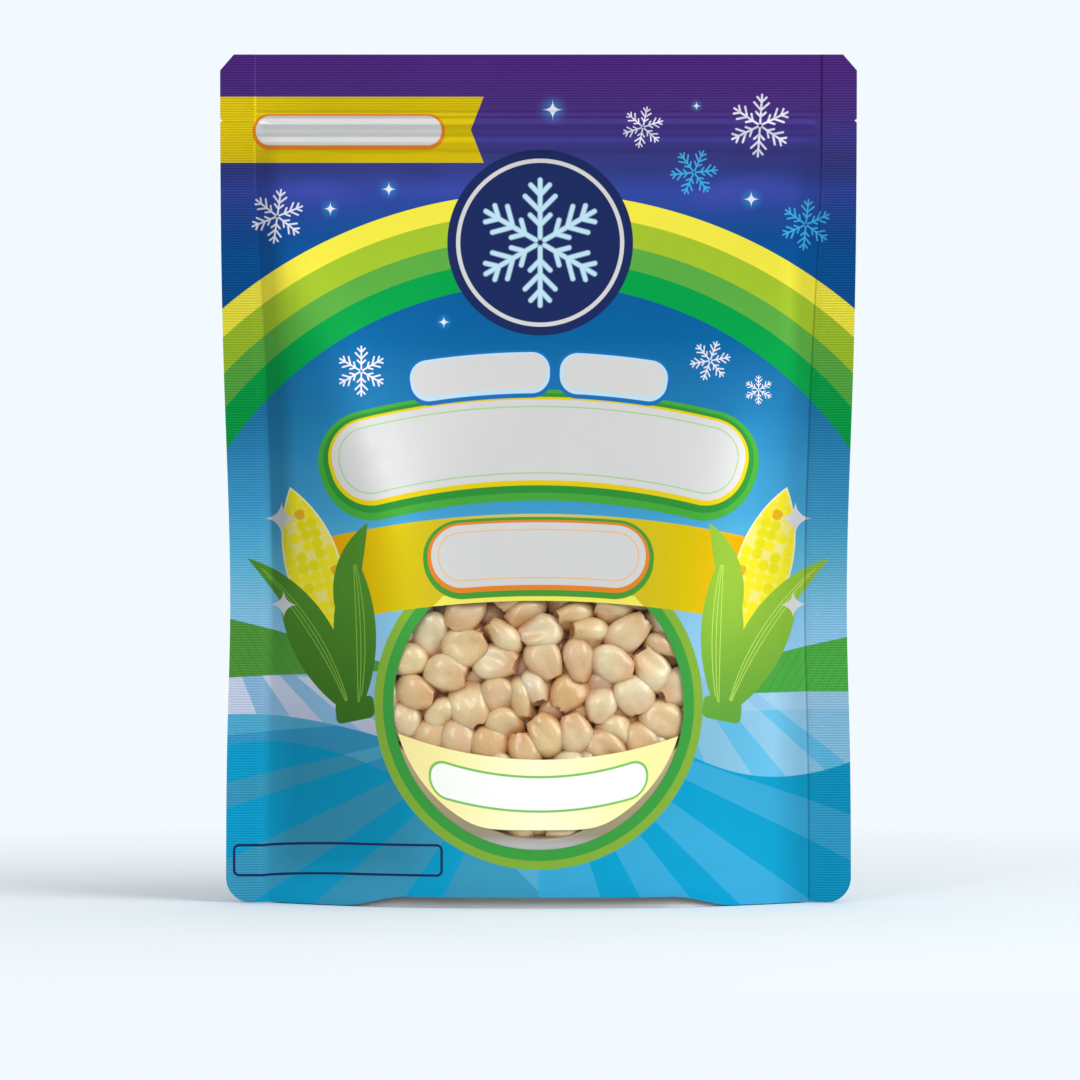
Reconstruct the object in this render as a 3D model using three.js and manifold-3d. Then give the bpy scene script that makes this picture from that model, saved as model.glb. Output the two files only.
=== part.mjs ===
// A stand-up pouch of freeze-dried corn: a printed film pouch with flat side seals, a press-to-close
// zipper under the top seal, an opened bottom gusset to stand on, and a round clear window in its
// front with the corn behind it. A printed ribbon cuts off the window's top along a shallow arc.
// Millimetres, +Z up, the front faces -Y. The origin is on the floor under the middle of the pouch.
import * as THREE from "three";
import { mergeVertices } from "three/addons/utils/BufferGeometryUtils.js";
import Module from "manifold-3d";

const wasm = await Module();
wasm.setup();

// Driving dimensions
const WIDTH = 152.4; // across the flat top seal
const HEIGHT = 203.2;
const BELLY = 22; // half the depth of the full pouch, low down in the middle
const SIDE_SEAL = { top: 8.4, low: 10.1, from: 185, to: 120 }; // width of each side seal
const SEAL_HALF = 0.6; // half the thickness where films are sealed together
const WINDOW_RADIUS = 34.5;
const WINDOW_HEIGHT = 48.4; // the window's centre above the floor
const RIBBON = { middle: 73, radius: 230 }; // the arc that cuts the window off at the top

// Outline
const WAIST = { height: 72, draw: 2.3, above: 55, below: 30 }; // the filled body draws its sides in
const FOOT_DRAW = 1.25; // how far the sides stay drawn in at the foot
const TOP_CUT = { across: 3.6, down: 4 }; // the cut-off top corners
const FOOT_RADIUS = 6; // the rounded bottom corners
const NOTCH = { height: 187.5, depth: 1, half: 0.8 }; // the tear notches

// Zipper: two ribs that press through the film, on a band of its own thickness
const ZIP = { bottom: 179.7, top: 189.6, half: 0.6 };
const ZIP_RIBS = { heights: [182, 186], proud: 0.5, half: 1.5 };

// Body: it ends under the zipper
const BODY_POWER = 1.2; // how the belly fades towards the top
const SKIRT = { height: 12, draw: 0.07 }; // the body pulls in a little above its foot
const CROWN = 0.15; // how much fuller than a parabola the body is across

// Base: the skirt's middle stands a little off the floor, and the gusset's flat bottom rests on it
const ARCH = { rise: 2.4, from: 50, to: 34 };
const BASE_FLAT = 0.7; // the share of the depth that is flat

// Window, the pocket behind it and the corn in the pocket
const FILM = 0.8;
const GAP = 0.3;
const WALL = 1.3; // the front film's thickness round the window
const POCKET_RADIUS = 42;
const POCKET_DEPTH = 12;
const KERNEL_PITCH = 9.4;
const KERNEL_DIP = 3.2; // how deep the hollows between kernels are

const COLUMNS = 26;
const LAYERS = 4;
const DISC_CELLS = 14;
const HEAP_CELLS = 24;
const ROW_HEIGHTS = heights([
  ...steps(0, FOOT_RADIUS, 4),
  ...steps(12, ZIP.bottom - 8, 22),
  ZIP.bottom - 2,
  ZIP.bottom,
  ZIP.top,
  ZIP.top + 1,
  ...ZIP_RIBS.heights.flatMap((rib) => steps(rib - ZIP_RIBS.half, rib + ZIP_RIBS.half, 3)),
  ...steps(NOTCH.height - NOTCH.half, NOTCH.height + NOTCH.half, 3),
  HEIGHT - TOP_CUT.down,
  HEIGHT,
]);

// Evenly spaced values from one number to another, both included.
function steps(from, to, count) {
  return Array.from({ length: count }, (_, i) => from + ((to - from) * i) / (count - 1));
}

// The heights in order, each once.
function heights(values) {
  return [...new Set(values)].sort((a, b) => a - b);
}

// 0 up to the first edge and 1 from the second, smooth between them.
function ramp(value, from, to) {
  return THREE.MathUtils.smoothstep((value - from) / (to - from), 0, 1);
}

// How far each side is drawn in at a height: most at the waist, nothing at the top.
function drawIn(z) {
  const rest = z > WAIST.height ? 0 : FOOT_DRAW;
  const spread = z > WAIST.height ? WAIST.above : WAIST.below;
  return rest + (WAIST.draw - rest) * Math.exp(-(((z - WAIST.height) / spread) ** 2));
}

// Half the pouch's width at a height, with its cut top corners, tear notches and rounded feet.
function halfWidth(z) {
  const cut = TOP_CUT.across * Math.max(0, (z - HEIGHT + TOP_CUT.down) / TOP_CUT.down);
  const notch = NOTCH.depth * Math.max(0, 1 - Math.abs(z - NOTCH.height) / NOTCH.half);
  const low = Math.max(0, FOOT_RADIUS - z);
  const foot = FOOT_RADIUS - Math.sqrt(FOOT_RADIUS ** 2 - low ** 2);
  return WIDTH / 2 - drawIn(z) - cut - notch - foot;
}

// Half the width between the side seals, which widen down to the filled body. Cuts in the outline
// don't move them.
function halfBody(z) {
  const seal = THREE.MathUtils.lerp(SIDE_SEAL.top, SIDE_SEAL.low, ramp(z, SIDE_SEAL.from, SIDE_SEAL.to));
  return WIDTH / 2 - drawIn(z) - seal;
}

// Half the depth of the film surface at a place on the front or the back.
function halfDepth(x, z) {
  const across = Math.min(1, Math.abs(x) / halfBody(z));
  const up = Math.min(1, z / ZIP.bottom);
  const skirt = 1 - SKIRT.draw * Math.max(0, 1 - z / SKIRT.height) ** 2;
  const belly = BELLY * Math.cos((Math.PI / 2) * up) ** BODY_POWER * skirt;
  const crown = (1 - across ** 2) * (1 + CROWN * across ** 2);
  const rib = Math.min(...ZIP_RIBS.heights.map((height) => Math.abs(z - height)));
  const proud = ZIP_RIBS.proud * Math.max(0, 1 - rib / ZIP_RIBS.half);
  const zipped = z >= ZIP.bottom && z <= ZIP.top ? ZIP.half + proud : 0;
  return SEAL_HALF + belly * crown + zipped * ramp(1 - across, 0, 0.04);
}

// A closed box of cells bent into shape: place(u, s, v) gives the point for -1..1 across, -1..1 from
// front to back and 0..1 up.
function bentBox(columns, layers, rows, place) {
  const geometry = new THREE.BoxGeometry(2, 2, 1, columns, layers, rows);
  const position = geometry.getAttribute("position");
  for (let i = 0; i < position.count; i++) {
    const point = place(position.getX(i), position.getY(i), position.getZ(i) + 0.5);
    position.setXYZ(i, point.x, point.y, point.z);
  }
  return geometry;
}

function pouchBlank() {
  const strip = 2 / COLUMNS; // one column of cells for each side seal
  return bentBox(COLUMNS, LAYERS, ROW_HEIGHTS.length - 1, (u, s, v) => {
    const height = ROW_HEIGHTS[Math.round(v * (ROW_HEIGHTS.length - 1))];
    const body = halfBody(height);
    const x =
      Math.abs(u) > 1 - strip / 2
        ? Math.sign(u) * halfWidth(height)
        : (u / (1 - strip)) * Math.min(body, halfWidth(height) - 1);
    const layer = Math.abs(s) > 0.9 ? 1 : Math.abs(s) > 0.1 ? BASE_FLAT : 0;
    const lift = height > 0 ? 0 : ARCH.rise * (1 - ramp(Math.abs(x), ARCH.to, ARCH.from));
    return new THREE.Vector3(
      x,
      Math.sign(s) * layer * halfDepth(x, height),
      height + (layer === 1 ? lift : 0),
    );
  });
}

// A round slab in the pouch's front: front(x, z) and back(x, z) give its two faces.
function roundSlab(radius, cells, front, back) {
  return bentBox(cells, 1, cells, (u, s, v) => {
    const w = 2 * v - 1;
    const x = radius * u * Math.sqrt(1 - w ** 2 / 2);
    const z = WINDOW_HEIGHT + radius * w * Math.sqrt(1 - u ** 2 / 2);
    return new THREE.Vector3(x, s < 0 ? front(x, z) : back(x, z), z);
  });
}

// A surface that lies a set distance under the pouch's front.
function under(depth) {
  return (x, z) => -halfDepth(x, z) + depth;
}

// A fixed number from 0 to 1 for each cell of the heap, so that the kernels lie unevenly.
function scatter(i, j) {
  const value = Math.sin(i * 127.1 + j * 311.7) * 43758.5453;
  return value - Math.floor(value);
}

// How far the heap's front lies below the tops of its kernels: rounded kernels with hollows between.
function kernelHollow(x, z) {
  let nearest = Infinity;
  const row = Math.round(z / (KERNEL_PITCH * 0.87));
  for (let j = row - 1; j <= row + 1; j++) {
    const column = Math.round(x / KERNEL_PITCH - (j % 2) / 2);
    for (let i = column - 1; i <= column + 1; i++) {
      const cx = (i + (j % 2) / 2 + 0.35 * (scatter(i, j) - 0.5)) * KERNEL_PITCH;
      const cz = (j * 0.87 + 0.35 * (scatter(j, i) - 0.5)) * KERNEL_PITCH;
      nearest = Math.min(nearest, Math.hypot(x - cx, z - cz));
    }
  }
  const share = Math.min(1, nearest / (KERNEL_PITCH * 0.6));
  return KERNEL_DIP * (1 - Math.sqrt(1 - share ** 2));
}

// Geometry to a manifold-3d solid and back.
function solidOf(geometry) {
  const bare = new THREE.BufferGeometry()
    .setAttribute("position", geometry.getAttribute("position"))
    .setIndex(geometry.getIndex());
  const merged = mergeVertices(bare, 1e-3);
  return new wasm.Manifold(
    new wasm.Mesh({
      numProp: 3,
      vertProperties: merged.getAttribute("position").array,
      triVerts: new Uint32Array(merged.getIndex().array),
    }),
  );
}

function geometryOf(solid) {
  const mesh = solid.getMesh();
  const geometry = new THREE.BufferGeometry()
    .setAttribute("position", new THREE.BufferAttribute(mesh.vertProperties, 3))
    .setIndex(new THREE.BufferAttribute(mesh.triVerts, 1));
  geometry.computeVertexNormals();
  return geometry;
}

// Everything in front of and behind the ribbon, down to its lower edge less a gap.
function ribbonBlock(gap) {
  const edge = (x) => RIBBON.middle - RIBBON.radius + Math.sqrt(RIBBON.radius ** 2 - x ** 2);
  return bentBox(DISC_CELLS, 1, 1, (u, s, v) => {
    const x = u * POCKET_RADIUS;
    return new THREE.Vector3(x, s * 4 * BELLY, v > 0.5 ? HEIGHT : edge(x) - gap);
  });
}

// A clear round of a radius, between two surfaces, with its top cut off by the ribbon.
function windowSolid(gap, front, back) {
  const round = solidOf(roundSlab(WINDOW_RADIUS - gap, DISC_CELLS, front, back));
  return round.subtract(solidOf(ribbonBlock(gap)));
}

function pouchGeometry() {
  const pocket = solidOf(roundSlab(POCKET_RADIUS, DISC_CELLS, under(WALL), under(POCKET_DEPTH)));
  const opening = windowSolid(0, under(-POCKET_DEPTH), under(POCKET_DEPTH / 2));
  return geometryOf(solidOf(pouchBlank()).subtract(pocket).subtract(opening));
}

function named(name, geometry, finish) {
  const mesh = new THREE.Mesh(geometry, new THREE.MeshStandardMaterial(finish));
  mesh.name = name;
  return mesh;
}

const part = new THREE.Group();
part.add(
  named("pouch", pouchGeometry(), { color: 0x1c86bd, roughness: 0.42, metalness: 0 }),
  named(
    "window",
    geometryOf(windowSolid(GAP, under(0), under(FILM))),
    { color: 0xf2f7fa, roughness: 0.12, metalness: 0, transparent: true, opacity: 0.2 },
  ),
  named(
    "corn",
    roundSlab(
      POCKET_RADIUS - GAP,
      HEAP_CELLS,
      (x, z) => under(WALL + GAP)(x, z) + kernelHollow(x, z),
      under(POCKET_DEPTH - GAP),
    ),
    { color: 0xe8cf9c, roughness: 0.6, metalness: 0 },
  ),
);

export default part;
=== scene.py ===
"""A stand-up pouch of freeze-dried corn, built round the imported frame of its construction.

The two printed films, the bottom gusset, the clear window and the kernels behind it are meshes that
follow the same formulas as the frame's solids. Lengths are worked out in millimetres and become
metres when a mesh is made. The front faces -Y and +Z is up.
"""

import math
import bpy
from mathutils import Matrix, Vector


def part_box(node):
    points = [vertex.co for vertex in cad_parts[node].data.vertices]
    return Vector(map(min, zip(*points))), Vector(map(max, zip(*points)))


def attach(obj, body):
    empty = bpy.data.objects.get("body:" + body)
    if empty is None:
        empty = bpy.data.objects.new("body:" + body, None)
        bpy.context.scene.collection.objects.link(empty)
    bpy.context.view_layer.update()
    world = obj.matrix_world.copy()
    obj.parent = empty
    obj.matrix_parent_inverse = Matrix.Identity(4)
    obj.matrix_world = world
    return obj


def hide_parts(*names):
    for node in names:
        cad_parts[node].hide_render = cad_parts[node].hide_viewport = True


bl_info = {
    "name": "Stand-up Corn Pouch",
    "version": (1, 0, 0),
    "blender": (4, 5, 0),
    "location": "3D View > Sidebar > Pouch",
    "description": "Builds a printed stand-up pouch with a clear window and freeze-dried corn",
    "category": "Add Mesh",
}

from types import SimpleNamespace

import bpy
import numpy as np
from bpy.props import FloatProperty, FloatVectorProperty, IntProperty, PointerProperty
from mathutils import Vector

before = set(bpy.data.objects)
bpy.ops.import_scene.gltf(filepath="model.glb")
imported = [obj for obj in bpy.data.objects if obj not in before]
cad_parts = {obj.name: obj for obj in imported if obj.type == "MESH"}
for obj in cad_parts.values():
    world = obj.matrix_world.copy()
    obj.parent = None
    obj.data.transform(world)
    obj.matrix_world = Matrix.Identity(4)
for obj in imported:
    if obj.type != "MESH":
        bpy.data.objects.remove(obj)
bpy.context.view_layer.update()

MM = 0.001
POUCH_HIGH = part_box("pouch")[1] / MM
WINDOW_LOW, WINDOW_HIGH = (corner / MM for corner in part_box("window"))
CLEARANCE = 0.3  # the gap that the frame keeps round its window

HEIGHT = POUCH_HIGH.z
HALF_WIDTH = POUCH_HIGH.x
HALF_DEPTH = POUCH_HIGH.y
OPENING_RADIUS = WINDOW_HIGH.x + CLEARANCE
OPENING_HEIGHT = WINDOW_LOW.z - CLEARANCE + OPENING_RADIUS  # of its centre
BANNER_FOOT = WINDOW_HIGH.z + CLEARANCE  # where the banner cuts the opening off, in the middle
BANNER_RADIUS = 230.0  # of that cut

# The grid of the films
ROW = 0.155  # between two rows of points in the seals, a quarter of a rib
BODY_SKIP = 4  # rows that one cell of the plain body spans
BODY_CELLS = 88
CROWDING = 0.45  # how much closer the body's columns lie towards the seals
CREASE_COLUMNS = np.array([0.13, 0.35, 0.8])  # millimetres inside a side seal
SEAL_SHARES = np.array([0, 0.015, 0.04, 0.1, 0.3, 0.55, 0.8, 0.97, 1])  # columns, from body to outline
RING_LAYERS = 13
BLOCK = {"half": 46.0, "low": 5.0, "high": 92.0}  # what the ring round the opening replaces


def ink(code):
    """A colour written as six hex digits, as the linear values that Blender works in."""
    shares = [int(code[i : i + 2], 16) / 255 for i in (0, 2, 4)]
    return tuple(s / 12.92 if s <= 0.04045 else ((s + 0.055) / 1.055) ** 2.4 for s in shares)


def smooth(value, low, high):
    """0 up to low and 1 from high, smooth between them."""
    share = np.clip((value - low) / (high - low), 0, 1)
    return share * share * (3 - 2 * share)


def length_property(name, description, millimetres):
    """A length, given in millimetres and kept in metres."""
    return FloatProperty(
        name=name,
        description=description,
        default=millimetres * MM,
        min=0,
        precision=5,
        unit="LENGTH",
    )


def colour_property(name, description, code):
    """A colour, given as six hex digits."""
    return FloatVectorProperty(
        name=name,
        description=description,
        default=ink(code),
        min=0,
        max=1,
        subtype="COLOR",
    )


class PouchShape(bpy.types.PropertyGroup):
    """Sizes of the pouch and its films."""

    film: length_property("Film", "Half the thickness where two films are sealed", 0.22)
    seal_top: length_property("Side seal, top", "Width of a side seal near the zipper", 8.4)
    seal_low: length_property("Side seal, low", "Width of a side seal beside the body", 10.1)
    waist: length_property("Waist", "How far the filled body draws its sides in", 2.3)
    foot: length_property("Foot", "How far the sides stay drawn in at the foot", 1.25)
    corner: length_property("Corner", "Radius of the bottom corners", 6.0)
    rib_pitch: length_property("Rib pitch", "Distance between two ribs of the seals", 0.62)
    rib_height: length_property("Rib height", "How far the ribs stand up", 0.09)
    zip_low: length_property("Zipper, low", "Lower edge of the zipper's flange", 179.7)
    zip_rib: FloatProperty(
        name="Zipper ribs",
        description="How strongly the zipper shows: 1 is as measured, 0 is a plain film",
        default=1.0,
        min=0,
        max=1.2,
    )
    arch: length_property("Skirt arch", "How far the skirt's middle stands off the floor", 2.4)
    wave: length_property("Waves", "Height of the film's broad, slack waves", 0.22)
    crown: FloatProperty(
        name="Crown",
        description="How flat the body is across: 2 is a parabola, more is flatter",
        default=3.4,
        min=2,
        max=6,
    )


class PrintInks(bpy.types.PropertyGroup):
    """Colours of the print."""

    night: colour_property("Night", "Top of the sky outside the arch", "50267c")
    yellow: colour_property("Yellow", "Outer band of the arch", "f6ea46")
    lime: colour_property("Lime", "Second band of the arch", "a5c52e")
    green: colour_property("Green", "Third band of the arch", "5cac43")
    deep_green: colour_property("Deep green", "Inner band of the arch", "00a148")
    banner: colour_property("Banner", "The ribbon over the window", "d6bf0a")
    cream: colour_property("Cream", "The band across the window", "fef0a3")
    navy: colour_property("Navy", "The badge and the weight box", "1c2a5e")
    frost: colour_property("Frost", "Snowflakes and sparkles", "ece8f5")
    white: colour_property("White", "Blank labels", "d6d5d4")
    leaf: colour_property("Leaf", "The husks beside the banner", "86b536")
    cob: colour_property("Cob", "The corn ears beside the banner", "efe028")
    water: colour_property("Field", "The blue fields at the foot", "0aa0cb")


class CornHeap(bpy.types.PropertyGroup):
    """The kernels behind the window."""

    count: IntProperty(name="Kernels", description="Kernels that settle", default=205, min=20)
    seed: IntProperty(name="Seed", description="Changes how the kernels lie", default=7)
    steps: IntProperty(name="Steps", description="Steps of the settling", default=260, min=10)
    length: length_property("Length", "Half the length of a kernel", 6.1)
    width: length_property("Width", "Half the width of a kernel", 5.2)
    thickness: length_property("Thickness", "Half the thickness of a kernel", 3.75)
    crown: colour_property("Crown", "Colour of a kernel's rounded end", "f7edcf")
    base: colour_property("Base", "Colour of a kernel's cut end", "d5984f")
    # The colour of the painted shade between and behind the kernels, and of the corn behind them
    shade: colour_property("Depth", "Colour of the corn deep in the heap", "b96f36")


class StudioLight(bpy.types.PropertyGroup):
    """The floor, the light and the camera."""

    backdrop: colour_property("Backdrop", "Colour of the floor and what is behind it", "f2faff")
    ambient: FloatProperty(name="Ambient", description="Light from all round", default=0.5)
    bounce: FloatProperty(
        name="Bounce",
        description="How much of its brightness the far floor throws back",
        default=0.45,
        min=0,
        max=1,
    )
    key: FloatProperty(
        name="Key light",
        description="Power of the large light on the right",
        default=12.4,
        unit="POWER",
    )
    strip: FloatProperty(
        name="Strip light",
        description="Power of the narrow light high on the left",
        default=2.3,
        unit="POWER",
    )
    key_azimuth: FloatProperty(
        name="Key azimuth",
        description="How far round to the right the large light stands",
        default=math.radians(56),
        subtype="ANGLE",
    )
    key_elevation: FloatProperty(
        name="Key elevation",
        description="How high the large light stands",
        default=math.radians(33),
        subtype="ANGLE",
    )
    strip_azimuth: FloatProperty(
        name="Strip azimuth",
        description="How far round to the left the narrow light stands",
        default=math.radians(23),
        subtype="ANGLE",
    )
    view_elevation: FloatProperty(
        name="View elevation",
        description="How far the camera looks down",
        default=math.radians(1.5),
        subtype="ANGLE",
    )
    distance: length_property("Distance", "From the camera to the pouch", 2000.0)
    view_height: length_property("View height", "Height of the picture at the pouch", 258.8)


def in_millimetres(group):
    """A property group's values, with its lengths in millimetres."""
    values = {}
    for name in group.__annotations__:
        value = getattr(group, name)
        length = group.bl_rna.properties[name].unit == "LENGTH"
        values[name] = value / MM if length else value
    return SimpleNamespace(**values)


# ---------------------------------------------------------------------------------------------
# The form of the pouch
# ---------------------------------------------------------------------------------------------

WAIST = {"height": 72.0, "above": 55.0, "below": 30.0}
TOP_CUT = {"across": 3.3, "down": 3.8}
NOTCH = {"height": 187.4, "depth": 0.55, "half": 0.45}
SEAL_WIDENS = (185.0, 120.0)
FADE_POWER = 1.2  # how the belly fades towards the zipper
SKIRT = {"height": 12.0, "draw": 0.07}
LOW_CROWN = {"less": 0.9, "from_to": (70.0, 15.0)}  # low down the body is rounder across
CREASE_EASE = 1.0  # over how many millimetres the body leaves the side seal
ARCH_ENDS = (46.5, 32.0)  # where the skirt lifts off the floor, and where it is at its highest
ARCH_REACH = 18.0
EDGE_RISE = {"by": 0.2, "ends": (72.0, 64.0)}  # the skirt hangs from the stiff feet of the seals
TOP_SEAL = 190.4
# Up across the zipper: height, and how far the film stands out there
ZIPPER = (
    (180.6, 0.22),
    (182.1, 0.26),
    (183.6, -0.06),
    (184.4, 0.2),
    (185.2, 0.24),
    (186.5, 0.62),
    (187.9, -0.02),
    (188.5, 0.06),
    (188.9, 0.0),
    (189.2, -0.17),
    (189.9, 0.0),
)
# The groove where a side seal ends, and the step up to the seal: low and soft beside the body, full
# and sharp beside the zipper
CREASE = {"deep": 0.12, "half": 0.3, "fades": (186, 180)}
STEP = {"rise": 0.24, "low": 0.4, "from_to": (150, 184), "ease": 0.12, "soft": 0.4, "softens": (185, 180)}
SLACK_FROM = 14.0  # how far from a seal the film waves freely
TEAR_LINE = {"height": 187.4, "half": 0.22, "rise": 0.12}

# Soft dents in the film: centre across, centre up, half width, half height, depth
FRONT_DENTS = (
    (24, 173, 6, 4.5, 0.35),
    (53, 174, 13, 4.5, 0.45),
    (-57, 175, 8, 3.5, 0.4),
    (-27, 173.5, 7, 3, 0.3),
    (2, 176, 10, 2.5, 0.2),
    (-60.5, 21, 2.4, 11, 0.25),
    (-34, 8, 6, 3.5, 0.5),
    (38, 7, 7, 3.5, 0.4),
    (60, 24, 2.4, 12, 0.25),
    (-61, 128, 2.2, 24, 0.25),
    (61.5, 140, 2.0, 26, 0.2),
)
BACK_DENTS = (
    (-30, 172, 12, 4.5, 0.4),
    (40, 174, 15, 4, 0.4),
    (59, 30, 2, 16, 0.35),
    (-59, 24, 2, 13, 0.35),
    (8, 9, 9, 4, 0.5),
    (-14, 120, 4, 30, 0.25),
)


class PouchForm:
    """The pouch's outer skin, as a height over its flat middle plane."""

    def __init__(self, shape):
        self.shape = shape
        rows = np.linspace(0, HEIGHT, 400)
        self.belly_size = 1.0
        self.belly_size = (HALF_DEPTH - shape.film) / self.belly(rows).max()

    def draw_in(self, z):
        """How far each side is drawn in at a height."""
        above = z > WAIST["height"]
        rest = np.where(above, 0, self.shape.foot)
        spread = np.where(above, WAIST["above"], WAIST["below"])
        bell = np.exp(-(((z - WAIST["height"]) / spread) ** 2))
        return rest + (self.shape.waist - rest) * bell

    def half_width(self, z):
        """Half the width, with the cut top corners, the tear notches and the rounded feet."""
        share = np.clip((z - HEIGHT + TOP_CUT["down"]) / TOP_CUT["down"], 0, 1)
        notch = np.clip(1 - np.abs(z - NOTCH["height"]) / NOTCH["half"], 0, 1)
        low = np.clip(self.shape.corner - z, 0, None)
        foot = self.shape.corner - np.sqrt(self.shape.corner**2 - low**2)
        cuts = TOP_CUT["across"] * share + NOTCH["depth"] * notch + foot
        return HALF_WIDTH - self.draw_in(z) - cuts

    def half_body(self, z):
        """Half the width between the side seals."""
        shape = self.shape
        seal = shape.seal_top + (shape.seal_low - shape.seal_top) * smooth(z, *SEAL_WIDENS)
        return HALF_WIDTH - self.draw_in(z) - seal

    def belly(self, z):
        """Half the depth in the middle at a height."""
        up = np.clip(z / self.shape.zip_low, 0, 1)
        skirt = 1 - SKIRT["draw"] * np.clip(1 - z / SKIRT["height"], 0, 1) ** 2
        return self.belly_size * np.cos(math.pi / 2 * up) ** FADE_POWER * skirt

    def crown(self, x, z):
        """The share of the belly at a place across: 0 in the seals and 1 in the middle."""
        body = self.half_body(z)
        inside = np.clip(body - np.abs(x), 0, None)
        eased = inside**2 / (inside + CREASE_EASE)
        power = self.shape.crown - LOW_CROWN["less"] * smooth(z, *LOW_CROWN["from_to"])
        return 1 - (1 - eased / body) ** power

    def depth(self, x, z):
        """The skin's distance from the middle plane, without its relief."""
        return self.shape.film + self.belly(z) * self.crown(x, z)

    def zipper(self, x, z):
        """The zipper's flange and its two ribs, which end inside the side seals."""
        low = self.shape.zip_low + 0.35 * np.sin(0.21 * x) + 0.2 * np.sin(0.47 * x + 1)
        start, level, height = low, 0.0, 0.0
        for end, rise in ZIPPER:
            height = height + (rise - level) * smooth(z, start, end)
            start, level = end, rise
        inside = self.half_body(z) - np.abs(x)
        pressed = np.where(height > 0, smooth(inside, 0.3, 4), smooth(inside, 0, 0.6))
        return self.shape.zip_rib * height * pressed

    def relief(self, x, z, side):
        """Ribs in the seals, the crease beside them, the zipper, slack waves and soft dents."""
        shape = self.shape
        beyond = np.abs(x) - self.half_body(z)
        sealed = np.maximum(smooth(beyond, 0.3, 0.9), smooth(z, TOP_SEAL, TOP_SEAL + 0.5))
        relief = sealed * shape.rib_height * np.cos(2 * math.pi * z / shape.rib_pitch)
        groove = CREASE["deep"] * np.exp(-((beyond / CREASE["half"]) ** 2))
        relief = relief - groove * smooth(z, *CREASE["fades"])
        ease = STEP["ease"] + STEP["soft"] * smooth(z, *STEP["softens"])
        step = STEP["low"] + (1 - STEP["low"]) * smooth(z, *STEP["from_to"])
        relief = relief + STEP["rise"] * smooth(beyond, -ease, ease) * step
        across = np.exp(-(((z - TEAR_LINE["height"]) / TEAR_LINE["half"]) ** 2))
        relief = relief + TEAR_LINE["rise"] * across * smooth(beyond, 0.1, 0.5)
        relief = relief + self.zipper(x, z)
        slack = smooth(-beyond, 0, SLACK_FROM)
        broad = np.sin(0.083 * x + 0.021 * z + 1.3 * side) * np.sin(0.047 * z + 0.6)
        fine = np.sin(0.19 * x - 0.05 * z) * np.sin(0.11 * z + 0.03 * x + side)
        relief = relief + shape.wave * slack * (broad + 0.35 * fine)
        for across, up, half_width, half_height, deep in FRONT_DENTS if side < 0 else BACK_DENTS:
            round_ = ((x - across) / half_width) ** 2 + ((z - up) / half_height) ** 2
            relief = relief - deep * np.exp(-round_)
        return relief

    def lift(self, x):
        """How far the skirt's edge stands off the floor."""
        edge = EDGE_RISE["by"] * smooth(np.abs(x), *EDGE_RISE["ends"])
        return edge + self.shape.arch * smooth(np.abs(x), *ARCH_ENDS)

    def before_lift(self, x, height):
        """The height that a place on the raised skirt would have on a skirt that lies flat."""
        z = np.clip(height - self.lift(x), 0, None)
        for _ in range(12):
            raised = self.lift(x) * np.clip(1 - z / ARCH_REACH, 0, 1) ** 2
            z = np.clip(0.5 * (z + height - raised), 0, None)
        return z

    def skin(self, x, z, side):
        """Points on the outside of a film: side is -1 for the front and 1 for the back."""
        x, z = np.broadcast_arrays(x, z)
        y = side * np.maximum(self.depth(x, z) + self.relief(x, z, side), 0.03)
        raised = z + self.lift(x) * np.clip(1 - z / ARCH_REACH, 0, 1) ** 2
        return np.stack([x, y, raised], -1)


# ---------------------------------------------------------------------------------------------
# Meshes
# ---------------------------------------------------------------------------------------------


class Sheet:
    """The points and faces of a mesh as they are gathered."""

    def __init__(self):
        self.points = []
        self.faces = []
        self.count = 0

    def add(self, points):
        """Takes points in any arrangement and returns their numbers in the same one."""
        numbers = np.arange(self.count, self.count + points[..., 0].size)
        self.points.append(points.reshape(-1, 3))
        self.count += numbers.size
        return numbers.reshape(points.shape[:-1])

    def quads(self, grid, keep=None):
        """A face for each cell of a grid of numbers, or for those to keep."""
        corners = [grid[:-1, :-1], grid[:-1, 1:], grid[1:, 1:], grid[1:, :-1]]
        cells = np.stack(corners, -1)
        cells = cells.reshape(-1, 4) if keep is None else cells[keep]
        self.faces.extend(cells.tolist())

    def piece(self, name, material, flip=False, scale=MM):
        """The mesh object of what was gathered, without unused points."""
        points = np.concatenate(self.points)
        used = np.unique(np.concatenate([np.array(face) for face in self.faces]))
        place = np.zeros(len(points), int)
        place[used] = np.arange(len(used))
        step = -1 if flip else 1
        faces = [[int(place[number]) for number in face[::step]] for face in self.faces]
        mesh = bpy.data.meshes.new(name)
        mesh.from_pydata((points[used] * scale).tolist(), [], faces)
        mesh.polygons.foreach_set("use_smooth", np.ones(len(faces), bool))
        mesh.set_sharp_from_angle(angle=math.radians(60))
        mesh.materials.append(material)
        made = bpy.data.objects.new(name, mesh)
        bpy.context.scene.collection.objects.link(made)
        return made


def own(piece, node):
    """Puts a piece into the frame: it rides on the pouch's one body and stands for a node."""
    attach(piece, "root")
    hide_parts(node)


def grid_lines(form):
    """The rows of the seals, which of them the body has too, and the body's columns as shares."""
    heights = np.append(np.arange(0, HEIGHT - ROW / 2, ROW), HEIGHT)
    ribbed = form.shape.zip_low - 2
    body_rows = [i for i, z in enumerate(heights) if z > ribbed or i % BODY_SKIP == 0]
    if body_rows[-1] != len(heights) - 1:
        body_rows.append(len(heights) - 1)
    even = np.linspace(-1, 1, BODY_CELLS + 1)
    shares = (1 - CROWDING) * even + CROWDING * np.sin(math.pi / 2 * even)
    crease = 1 - CREASE_COLUMNS / float(form.half_body(OPENING_HEIGHT))
    shares = np.concatenate([[-1], -crease, shares[1:-1], crease[::-1], [1]])
    return heights, np.array(body_rows), np.sort(shares)


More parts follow.
